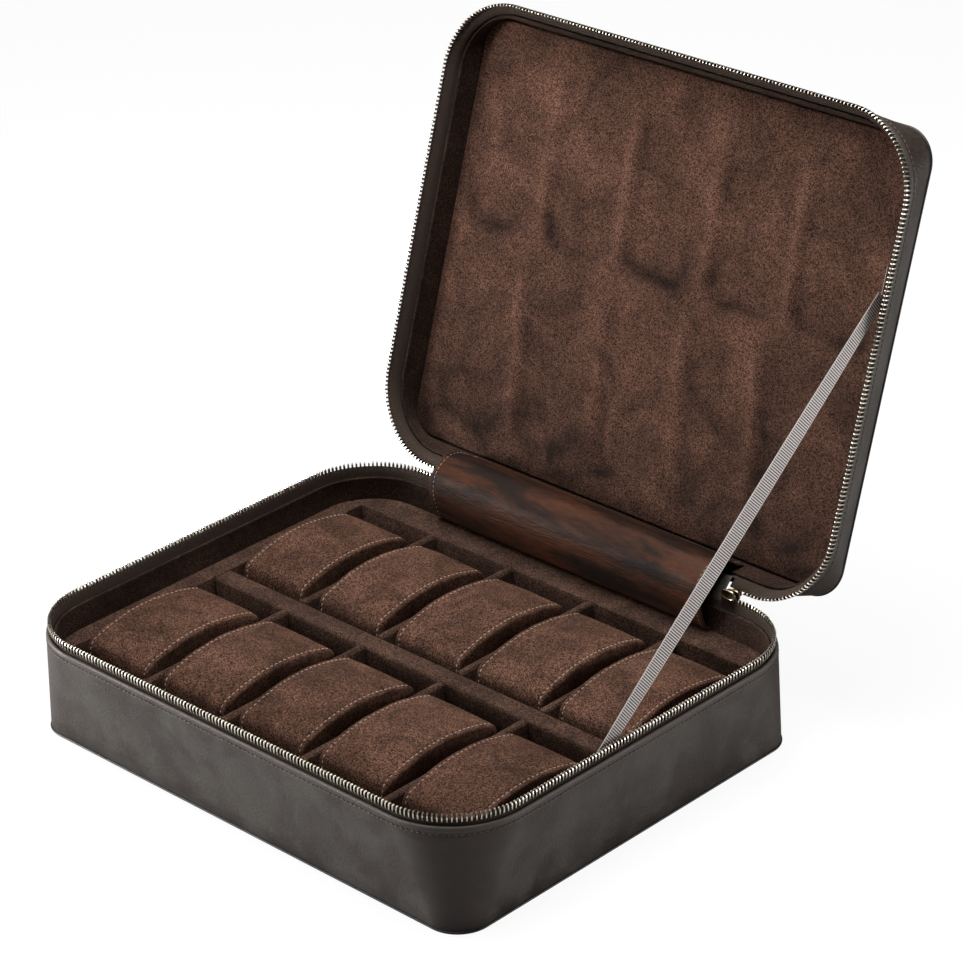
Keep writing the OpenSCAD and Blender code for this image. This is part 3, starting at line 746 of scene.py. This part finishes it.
def pillow_blank():
    """Points and faces of the slack cover, 1 mm inside its finished size, and its sewn lines."""
    loop = arch_loop(2.2)
    n = len(loop)
    edge = half_w - 0.75
    right = [edge, edge - 0.7, edge - 1.5, seam, seam - 0.7, seam - 1.6, seam - 3.4]
    middle = list(np.linspace(seam - 5.4, -(seam - 5.4), 15))
    xs = [-x for x in right] + middle[::-1] + right[::-1]
    points, sewn = [], []
    for x in xs:
        u = x / edge
        tuck = 0.7 if abs(abs(x) - edge) < 0.01 else 0
        for y, z in loop:
            crown = (1 - u * u) * max(0, (z - 28) / 19)
            z_in = 0.35 + z * (1 - (1.3 + tuck) / pillow_h) + crown
            points.append((x, y * (1 - (0.9 + tuck) / half_l), z_in))
            on_seam = abs(abs(x) - seam) < 0.01
            sewn.append(1.0 if z < 1 or tuck else (0.75 if on_seam else 0.0))
    faces = tube_faces(len(xs), n)
    for side, first in ((-1, 0), (1, (len(xs) - 1) * n)):
        before = range(first, first + n)
        for share in (0.9, 0.76, 0.6, 0.43, 0.27, 0.12):
            ring = range(len(points), len(points) + n)
            x = side * (edge - 1.7 * (1 - share ** 2))
            for _, y, z in points[first:first + n]:
                points.append((x, y * share, side_mid_z + (z - side_mid_z) * share))
            faces += ring_faces(before, ring)
            before = ring
        points.append((side * (edge - 1.7), 0, side_mid_z))
        faces += [(before[j], before[(j + 1) % n], len(points) - 1) for j in range(n)]
    return np.array(points), faces, sewn, n


def mesh_points(mesh):
    flat = np.zeros(len(mesh.vertices) * 3)
    mesh.vertices.foreach_get("co", flat)
    return flat.reshape(-1, 3)


points, faces, sewn, around = pillow_blank()
blank = as_object("pillow_blank", points, faces)
group = blank.vertex_groups.new(name="sewn")
for k, weight in enumerate(sewn):
    if weight:
        group.add([k], weight, "REPLACE")
puffed = points * mm
cloth = blank.modifiers.new("stuffing", "CLOTH").settings
cloth.quality = 6
cloth.mass = 0.25
cloth.tension_stiffness = cloth.compression_stiffness = 18
cloth.bending_stiffness = 1.2
cloth.use_pressure = True
cloth.uniform_pressure_force = 4
cloth.effector_weights.gravity = 0
cloth.vertex_group_mass = "sewn"
for step in range(1, 21):
    scene.frame_set(step)
seen = blank.evaluated_get(bpy.context.evaluated_depsgraph_get()).data
shift = mesh_points(seen) - puffed
far = norm(shift, axis=1, keepdims=True)
puffed = puffed + shift * np.minimum(1, most_swell / np.maximum(far, 1e-9))
blank.modifiers.clear()
scene.frame_set(1)
blank.data.vertices.foreach_set("co", puffed.ravel())
work = bmesh.new()
work.from_mesh(blank.data)
crease = work.edges.layers.float.new("crease_edge")
work.verts.ensure_lookup_table()
for first in (0, len(sewn) - around):
    for j in range(around):
        pair = (work.verts[first + j], work.verts[first + (j + 1) % around])
        work.edges.get(pair)[crease] = 1.0
work.to_mesh(blank.data)
work.free()
finer = blank.modifiers.new("finer", "SUBSURF")
finer.levels = finer.render_levels = 1
cover = plain_mesh(blank)
bpy.data.objects.remove(blank)
slack = mesh_points(cover) * 1000
lean = np.array([v.normal for v in cover.vertices])

def sewn_pillow(name, seed):
    """One pillow with its own slight swells, and the stitches that follow its cover."""
    low, high = box_mm(name)
    mid_x, mid_y = (low.x + high.x) / 2, (low.y + high.y) / 2
    flip = -1 if seed % 2 else 1
    co = slack.copy()
    for k, (p, d) in enumerate(zip(slack, lean)):
        gap = abs(abs(p[0]) - seam)
        sewn_dip = -0.42 * exp(-(gap / 0.75) ** 2) if p[2] > 6 else 0
        along = p[1] * 2 * pi / 3.0
        pucker = 0.10 * exp(-gap / 2.2) * cos(along) if p[2] > 12 else 0
        q = Vector((p[0], p[1], p[2] + 60 * seed))
        swell = 0.30 * noise.noise(q / 21) + 0.12 * noise.noise(q / 7)
        co[k] = p + d * (sewn_dip + pucker + swell * (1 if p[2] > 3 else 0))
    co[:, 0] *= flip
    co += [mid_x, mid_y, low.z]
    co[:, 2] = np.maximum(co[:, 2], low.z)
    mesh = cover.copy()
    mesh.name = name + "_cover"
    mesh.vertices.foreach_set("co", (co * mm).ravel())
    if flip < 0:
        mesh.flip_normals()
    mesh.update()
    mesh.materials.append(pillow_suede)
    shade_smooth(mesh, 48)
    made = placed(name + "_cover", mesh)
    corners = [v.co for v in mesh.vertices]
    tree = BVHTree.FromPolygons(corners, [p.vertices for p in mesh.polygons])
    lines = []
    for side in (-1, 1):
        line = []
        for angle in np.radians(np.arange(-4, 184.5, 1.5)):
            d = Vector((0, cos(angle), sin(angle)))
            start = Vector((mid_x + side * seam, mid_y, low.z + 20)) * mm
            hit = tree.ray_cast(start + d * 0.12, -d)
            if hit[0]:
                line.append(hit[0] + hit[1] * 0.00012)
        lines.append((line, False))
    rows = stitched(name + "_stitches", lines, 0.003, 0.0020, 0.0006, 0.12, pillow_thread)
    fit(made, name, name)
    fit(rows, None, name)


for number in range(1, 6):
    sewn_pillow(f"pillow_front_{number}", number)
for number in range(1, 6):
    sewn_pillow(f"pillow_back_{number}", number + 7)

# ------ Lid shell
# The same strip of hide, rolled rim and painted bead as the base, with a flat outer panel.
fit(side_hide("lid_side", lid_tub), "lid_side_leather", "lid")
fit(rim_stitches("lid_side_stitches", lid_tub), None, "lid")
fit(painted_bead("lid_top_bead", lid_tub), "lid_top_edge", "lid")
finished_node("lid_top_leather", case_hide)

# ------ Lid lining and pad
# Suede on the lid's wall, and a thin foam pad in suede over the whole panel. Stored watches
# have pressed two rows of five soft marks into it.
fit(wall_suede("lid_lining", lid_tub), "lid_wall_lining", "lid")

pad_suede = suede_material("pad_suede", (0.014, 0.006, 0.004), (0.152, 0.074, 0.048), 0.035)
marks = [(x, -54, w, 46) for x, w in ((-117, 23), (-56, 24), (-1, 23.5), (60, 25), (116, 25))]
marks += [(x, 53, w, 49) for x, w in ((-112, 22), (-57, 20), (-2, 22), (52, 23), (110, 22))]
ridges = [(-86, -50), (-29, -50), (30, -50), (86, -50), (-84, 52), (-25, 52), (31, 52), (82, 52)]
mark_corner = 17


def hump(off, width):
    return exp(-(off / width) ** 2)


def pad_marks(x, y):
    """Foam crown, soft ridges between the columns, and each mark deepest along its lower edge; and
    the painted shade and light for the suede's colour.
    """
    crown = 0.4 * (1 - (x / 150) ** 2) * (1 - (y / 120) ** 2)
    rise = crown + 0.3 * wobble(x / 24, y / 24, 1)
    line = 0.0
    for k, (cx, cy, hx, hy) in enumerate(marks):
        wob = 2.2 * wobble(x / 26, y / 26, k)
        qx, qy = abs(x - cx) - hx + mark_corner, abs(y - cy) - hy + mark_corner
        gap = math.hypot(max(qx, 0), max(qy, 0)) + min(max(qx, qy), 0) - mark_corner + wob
        press = min(1, max(0, (2.5 - gap) / 6))
        low_side = min(1, max(0, (y - cy) / hy)) ** 3
        rise -= (0.5 + 1.3 * low_side) * press * press * (3 - 2 * press)
        strong = 0.85 + 0.5 * wobble(k * 3.1, x / 40, 5)
        # Painted shade: a dark crescent along the lower edge of each mark.
        line = max(line, hump(gap + 0.5, 4.6) * (0.6 if cy < 0 else 0.34) * low_side * strong)
    for rx, ry in ridges:
        slope = (0.14 if ry > 0 else 0.06) * (y - ry)
        off = x - rx - 2.5 * wobble(y / 22, rx, 4) - slope
        near = max(0, 1 - ((y - ry) / 50) ** 4)
        rise += 0.9 * hump(off, 3.2) * near
        # Painted light along each ridge and painted shade on its right flank.
        line += near * (0.20 * hump(off - 7, 4) - 0.28 * hump(off + 1, 5))
    # Painted shade, darker towards the hinge and towards the right of the pad.
    shade = 0.34 * min(1, max(0, (y + 30) / 130)) ** 1.5 + 0.10 * min(1, max(0, (x - 40) / 90))
    return rise - 0.1, line + shade


lid_pad = cut_sheet(
    "lid_pad_cover", lid_tub, 5.3, lid_tub.low + 2.4, 2.7, 1.6, 2.2, pad_marks, pad_suede,
)
fit(lid_pad, "lid_pad", "lid")

# ------ Zip tapes
# Two woven tapes, each sewn in behind a rim and leaning out a little to the line of the teeth.
tape_cloth, tree = empty_material("zip_tape_weave")
uv = put(tree, "ShaderNodeUVMap", uv_map="UVMap")
split = put(tree, "ShaderNodeSeparateXYZ", {0: uv}).outputs
slope = calc(tree, "ADD", split["X"], calc(tree, "PINGPONG", split["Y"], 0.0016))
yarn = calc(tree, "PINGPONG", slope, 0.00042)
yarn = remap(tree, yarn, 0.00004, 0.00036, kind="SMOOTHSTEP")
lift = calc(tree, "MULTIPLY_ADD", cloud(tree, 1500, 2), 0.5, yarn)
color = mix(tree, remap(tree, lift, 0.25, 1.25), (0.005, 0.0035, 0.003), (0.085, 0.057, 0.042))
surface(tree, color, 0.85, lift, 0.7, 0.0002, Specular_IOR_Level=0.2)

tape_end, teeth_ends, teeth_z = 100.6, (-105.5, 113.0), base_h + 3.6
lean_out = lambda z: 0.9 * min(1, max(0, (z - base_h) / 4.5))


def by_slider(points, start, over):
    """1 for the points at the back right, up to the slider, falling to 0 over some length."""
    x, y = points[:, 0], points[:, 1]
    return np.clip((start - x) / over, 0, 1) * (y > 100) * (x > 0)


def base_trim(points):
    """The base's tape rises to the mid plane as it enters the slider."""
    near = by_slider(points, 112, 3)
    upper = np.clip((points[:, 2] - base_h) / 3.6, 0, 1)
    points[:, 2] += 2.7 * upper * near * near * (3 - 2 * near)
    return points


def lid_trim(points):
    """The lid's tape is bare past its last tooth, and trimmed clear of the slider."""
    points[:, 2] -= by_slider(points, 114, 1.5) * np.clip(points[:, 2] - base_h - 3.0, 0, 1)
    return points


def zip_tape(name, tub, first, trim):
    out = tub.inward
    rise = [(0, -7.4), (0, -4), (0, 0), (out / 2, 1.8), (out, 3.4)]
    face = [(2.45 - off, base_h + z) for off, z in rise]
    top = [(2.6 - out, teeth_z), (3.1 - out, teeth_z)]
    inside = [(3.25 - off, base_h + z) for off, z in rise[::-1]]
    profile = face + top + inside
    return swept(name, tub, profile, tape_cloth, (first, tape_end), lean_out, trim=trim)


for half, tub, first, trim in (
    ("base", base_tub, -tape_end, base_trim), ("lid", lid_tub, teeth_ends[0], lid_trim),
):
    fit(zip_tape(half + "_tape", tub, first, trim), half + "_zip_tape", half)

# ------ Zip teeth
# Pressed brass teeth with an antique finish, clamped over the tape's edge every 2.3 mm. The
# lid's row stands half a pitch along, so that the two rows mesh.
def aged_brass(name, bright, dark, bias):
    """Brass that is dark in its hollows and bright where it is rubbed; the same mark also paints
    highlight and shade on the teeth and the slider.
    """
    made, tree = empty_material(name)
    worn = calc(tree, "MULTIPLY_ADD", cloud(tree, 420, 4), 1.1, mark_on(tree, "rubbed_and_highlit"))
    worn = remap(tree, worn, 0.42 + bias, 0.95 + bias, kind="SMOOTHSTEP")
    rough, fine = remap(tree, worn, 0, 1, 0.6, 0.3), cloud(tree, 2600, 2)
    surface(tree, mix(tree, worn, dark, bright), rough, fine, 0.25, 0.0001, Metallic=1)
    return made


teeth_brass = aged_brass("teeth_brass", (0.80, 0.74, 0.63), (0.022, 0.017, 0.013), 0.12)
half_tooth = [(0.5, -1.5), (0.8, -0.9), (0.95, 0.2), (1.0, 1.4), (0.75, 2.15), (0.35, 2.62)]
section = half_tooth + [(-y, z) for y, z in half_tooth[::-1]]
slices = [(-0.45, 0.74), (-0.28, 1.0), (0.28, 1.0), (0.45, 0.74)]
points = [(x, y * s, 0.55 + (z - 0.55) * s) for x, s in slices for y, z in section]
m = len(section)
faces = tube_faces(len(slices), m) + [tuple(range(m)), tuple(range(3 * m, 4 * m))]
# Painted highlight and shade, with the antique finish's wear: each tooth's middle bright at its
# tip, darker below, and its ends dark, so the teeth read as lit bars with shaded gaps.
rubbed_and_highlit = [(0.85 if z > 1 else 0.35) if s == 1.0 else 0.0 for x, s in slices for y, z in section]
tooth = as_object("one_tooth", points, faces, marks={"rubbed_and_highlit": rubbed_and_highlit}, smooth=False)

# Teeth along a line: one upright tooth for each pitch, turned to follow the line.
teeth_row, give = new_group("teeth_row", "Geometry", {
    "Line": "Geometry", "Pitch": "Float", "Loose": "Float", "Tooth": "Object", "Metal": "Material",
}, {"Teeth": "Geometry"})
tree = teeth_row
one = put(tree, "GeometryNodeObjectInfo", {"Object": give["Tooth"]}, transform_space="ORIGINAL")
loose, low, high, one = give["Loose"], (-1, -1, -1), (1, 1, 1), one.outputs["Geometry"]
row = row_along(tree, give, low, high, loose, 5, one, pivot_axis="Z")
in_material(tree, row, give["Metal"], "Teeth")


def node_points(made):
    return np.array([v.co for v in made.data.vertices]) * 1000


def zip_teeth(name, tub, start):
    ends = (teeth_ends[0] + start, teeth_ends[1] - 1)
    line = at_height(outline(tub, 1.95 - tub.inward, teeth_z, ends), teeth_z) * mm
    made = grown(name, teeth_row, [(line, False)], {
        "Pitch": 0.0023, "Loose": 0.035, "Tooth": tooth, "Metal": teeth_brass,
    })
    if tub is lid_tub:
        made.data.vertices.foreach_set("co", (lid_place(node_points(made)) * mm).ravel())
        made.data.flip_normals()
    return made


for half, tub, start in (("base", base_tub, -1.9), ("lid", lid_tub, -0.75)):
    fit(zip_teeth(half + "_teeth", tub, start), half + "_zip_teeth", half)
bpy.data.objects.remove(tooth)

# ------ Slider, pull and stop
# Cast brass slider parked at the hinge's right end, its flat pull hung on a pin, and the
# folded metal stop that ends the zip at the hinge's left end.
slider_brass = aged_brass("slider_brass", (0.55, 0.47, 0.30), (0.060, 0.047, 0.022), 0.30)
for piece, bevel, metal, body in (
    ("pull", 0.0003, slider_brass, "zip_pull"), ("bottom_stop", 0.0005, teeth_brass, "base"),
):
    made = softened(piece, "zip_" + piece, bevel, metal, 3, 32, 35)
    fit(made, "zip_" + piece, body)

slider_low, slider_high = box_mm("zip_slider")
at_x, at_y = (slider_low.x + slider_high.x) / 2, slider_low.y + 2.7
work = bmesh.new()
rub = work.verts.layers.float.new("rubbed_and_highlit")


def plate(face_y, way, long, tall, lift):
    """A slider plate: a fish shape with a raised rim round a dished middle, the rim worn bright
    and given a painted highlight.
    """
    rings = [
        (0.92, 0, 0.2), (1.0, 0.35, 0.7), (1.0, 0.8, 1.0), (0.93, 1.15, 1.0), (0.82, 1.05, 0.5),
        (0.72, 0.85, 0.0),
    ]
    before = None
    for share, out, worn in rings:
        ring = []
        for a in np.radians(np.arange(0, 360, 10)):
            x = long / 2 * math.copysign(abs(cos(a)) ** 0.6, cos(a))
            z = tall / 2 * sin(a) * (0.82 + 0.18 * cos(a))
            place = (at_x + x * share, face_y + way * out, mid_z + lift + z * share)
            ring.append(work.verts.new(place))
            ring[-1][rub] = worn
        for corners in ring_faces(before, ring) if before else [ring]:
            work.faces.new(corners)
        before = ring
    work.faces.new(before)


def lump(size, place):
    old = set(work.verts)
    matrix = Matrix.Translation(place) @ Matrix.Diagonal((*size, 1))
    made = bmesh.ops.create_cube(work, size=1, matrix=matrix)
    edges = list({edge for v in made["verts"] for edge in v.link_edges})
    bmesh.ops.bevel(work, geom=edges, offset=0.25, segments=2, profile=0.5, affect="EDGES")
    for v in set(work.verts) - old:
        v[rub] = 0.4


plate(at_y - 1.5, -1, 10, 6.4, 1.9)
plate(at_y + 1.5, 1, 9.6, 7.4, 0)
lump((3.2, 3.6, 1.9), (at_x - 0.4, at_y, mid_z + 1.2))
for side in (-1, 1):
    lump((1, 4.4, 2.8), (at_x + side * 2.1, at_y + 4.1, mid_z))
bmesh.ops.create_cone(
    work, cap_ends=True, segments=16, radius1=0.7, radius2=0.7, depth=4.2,
    matrix=Matrix.Translation((at_x, at_y + 4.9, mid_z)) @ Matrix.Rotation(pi / 2, 4, "Y"),
)
bmesh.ops.recalc_face_normals(work, faces=work.faces)
bmesh.ops.scale(work, vec=(mm, mm, mm), verts=work.verts)
mesh = bpy.data.meshes.new("slider")
work.to_mesh(mesh)
work.free()
mesh.materials.append(slider_brass)
shade_smooth(mesh, 50)
fit(placed("slider", mesh), "zip_slider", "base")

# ------ Hinge leathers
# A wide strip of reddish waxed hide bridges the two halves inside and a thin dark one
# outside, between the ends of the zip. Both are made bowed, as they lie with the lid open.
hinge_hide = hide_material(
    "hinge_hide", (0.058, 0.020, 0.009), (0.013, 0.007, 0.005), 0.013, (1, 1, 1),
    (0.10, 0.055, 0.035), 0.12, 0.5, 0.22,
)
hinge_thread = thread_material("hinge_thread", (0.30, 0.22, 0.17))
hinge_w, lid_slope = 194, 0.2557


def lid_point(off, depth):
    """Where a point of the open lid is, from its distance inside the rim and its depth."""
    y, z = depth * swing_sin - off * swing_cos, off * swing_sin + depth * swing_cos
    return hinge_y + y, mid_z + z


def two_sided(rows, columns):
    """The faces of a thin closed sheet: its top, its underside and its edge."""
    faces, rim = grid_faces(rows, columns)
    below = rows * columns
    under = [tuple(q + below for q in f[::-1]) for f in faces]
    return faces + under + ring_faces(rim, [q + below for q in rim])


def bowed_strip(name, keys, wide, thick, steps, sag, hide):
    """A strip along a curve through the key points, with rounded long edges and a slack middle."""
    keys = np.array([keys[0], *keys, keys[-1]], float)
    n = len(keys) - 3
    line = []
    for k in range(steps + 1):
        u = n * k / steps
        i = min(n - 1, int(u))
        t = u - i
        a, b, c, d = keys[i:i + 4]
        bend = (2 * a - 5 * b + 4 * c - d) * t * t + (3 * b - a - 3 * c + d) * t ** 3
        line.append(0.5 * (2 * b + (c - a) * t + bend))
    line = np.array(line)
    way = np.gradient(line, axis=0)
    way /= norm(way, axis=1, keepdims=True)
    out = np.column_stack([way[:, 1], -way[:, 0]])
    run = distance_along(line)
    half = wide / 2
    ends = [half - gap for gap in (0, 0.15, 0.6, 1.6, 3, 4.4)]
    xs = np.array([-x for x in ends] + list(np.linspace(-half + 8, half - 8, 40)) + ends[::-1])
    points, uv_of, rolled = [], [], []
    for face in (-1, 1):
        for x in xs:
            gap = half - abs(x)
            slim = 0.35 if gap < 0.05 else (0.8 if gap < 0.2 else 1)
            for k, (p, o) in enumerate(zip(line, out)):
                middle = sin(pi * k / steps) ** 2
                dip = 0.25 * exp(-((gap - 3) / 0.9) ** 2)
                slack = middle * (sag * (1 - (x / half) ** 2) - dip)
                slack += middle * 0.35 * wobble(x / 22, run[k] / 14, 2)
                q = p + o * (-slack + face * thick / 2 * slim)
                points.append((x, q[0], q[1]))
                uv_of.append((x * mm, run[k] * mm))
                rolled.append(0.8 if gap < 0.3 else 0.0)
    faces = two_sided(len(xs), steps + 1)
    uv = [uv_of[i] for f in faces for i in f]
    return as_object(name, points, faces, hide, uv, marks={"rolled": rolled}), line, out


bow, strip_low, wall_y = 9.5, 43.95, 124.25
on_lid = ((0.37, -1.58), (1.26, -0.95), (1.53, -0.26), (1.47, 0.53), (1.24, 1.16))
inner_keys = [
    (wall_y - inset(base_tub, strip_low), strip_low), (wall_y - 0.50 * bow, strip_low + 2.2),
    (wall_y - 0.80 * bow, strip_low + 9), (wall_y - bow, mid_z - 2),
    *[lid_point(a * bow, b * bow) for a, b in on_lid], lid_point(8.8 + lid_slope * 10, 16.5),
]
inner_hinge, inner_line, inner_out = bowed_strip(
    "inner_hinge", inner_keys, hinge_w, 1.2, 60, 0.6, hinge_hide,
)
lines = []
for x in (-hinge_w / 2 + 3, hinge_w / 2 - 3):
    run = (inner_line - inner_out * 0.62)[2:-2]
    lines.append(([Vector((x, *p)) * mm for p in run], False))
hinge_stitches = stitched("inner_hinge_stitches", lines, 0.0027, 0.002, 0.0006, 0.1, hinge_thread)
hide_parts("inner_hinge_leather")
for made in (inner_hinge, hinge_stitches):
    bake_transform(made)

outer_keys = [(130 - 3.05 - 0.1148 * 6.5, 51.5), (126.95, 57.7), (127.95, base_h + 3)]
outer_keys += [lid_point(6.05 + off, z) for off, z in ((0, 3.5), (0, 6.8), (lid_slope * 6.5, 13))]
outer_hinge, _, _ = bowed_strip("outer_hinge", outer_keys, 200.8, 0.8, 30, 0, case_hide)
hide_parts("outer_hinge_leather")
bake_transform(outer_hinge)

# ------ Stay ribbon
# Grey grosgrain, 8 mm wide, from the right wall of the base to the right wall of the lid,
# with a sewn tab at each end. It stops the lid at 108 degrees.
ribbon_cloth, tree = empty_material("grosgrain")
silk = cloud(tree, 2400, 2)
# Painted shade: near black in the grooves between the ribs, light grey on the ribs and the
# selvedges.
color = mix(tree, mark_on(tree, "rib"), (0.003, 0.0025, 0.0025), (0.76, 0.69, 0.66))
color = scaled(tree, color, remap(tree, silk, 0.3, 0.7, 0.82, 1.12))
surface(tree, color, 0.5, silk, 0.3, 0.0001)
rib_pitch = 1.3


def ribbed(name, centre, width_way, face_way, wide, twist=0.0):
    """A ribbon along a line of centre points, with rounded ribs and plain selvedges."""
    span = np.array([-1, -0.93, -0.86, -0.4, 0, 0.4, 0.86, 0.93, 1])
    run = distance_along(centre)
    count = int(round(run[-1] * 5 / rib_pitch))
    s = np.linspace(0, run[-1], count + 1)
    line = np.column_stack([np.interp(s, run, centre[:, i]) for i in range(3)])
    points, ribs = [], []
    for face in (1, -1):
        for k, p in enumerate(line):
            wave = min(1, max(0, 0.5 - 1.1 * cos(2 * pi * s[k] / rib_pitch)))
            angle = twist * sin(pi * k / count)
            width = width_way * cos(angle) - face_way * sin(angle)
            out = face_way * cos(angle) + width_way * sin(angle)
            for t in span:
                rib = 0.8 if abs(t) > 0.9 else wave
                thick = 0.05 if abs(t) == 1 else 0.11 + 0.09 * rib
                points.append(p + width * (t * wide / 2) + out * (face * thick))
                ribs.append(rib)
    faces = two_sided(len(line), len(span))
    return as_object(name, points, faces, ribbon_cloth, marks={"rib": ribs})


def ribbon_ways(way):
    """The ways across and out of a ribbon that runs along way."""
    way = way / norm(way)
    face = np.cross(way, np.cross([1.0, 0, 0], way))
    face /= norm(face)
    return np.cross(face, way), face


low_end = np.array([154.45, -27.0, 56.2])
high_end = np.array([151.2, *lid_point(170, 8.3)])
t = np.linspace(0, 1, 90)[:, None]
sag = np.sin(np.pi * t) * np.array([[-1.2, 0.6, -1.4]])
centre = low_end + (high_end - low_end) * t + sag
ribbon = ribbed("ribbon", centre, *ribbon_ways(high_end - low_end), 8.0, radians(24))
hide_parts("stay_ribbon")
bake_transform(ribbon)

for body, anchor in (("base", low_end), ("lid", high_end)):
    node = f"ribbon_{body}_tab"
    co = node_points(nodes[node])
    by_distance = co[np.argsort(norm(co - anchor, axis=1))]
    centre = np.array([by_distance[:8].mean(0), by_distance[-8:].mean(0)])
    made = ribbed(f"ribbon_tab_{body}", centre, *ribbon_ways(centre[1] - centre[0]), 7.6)
    fit(made, node, body)
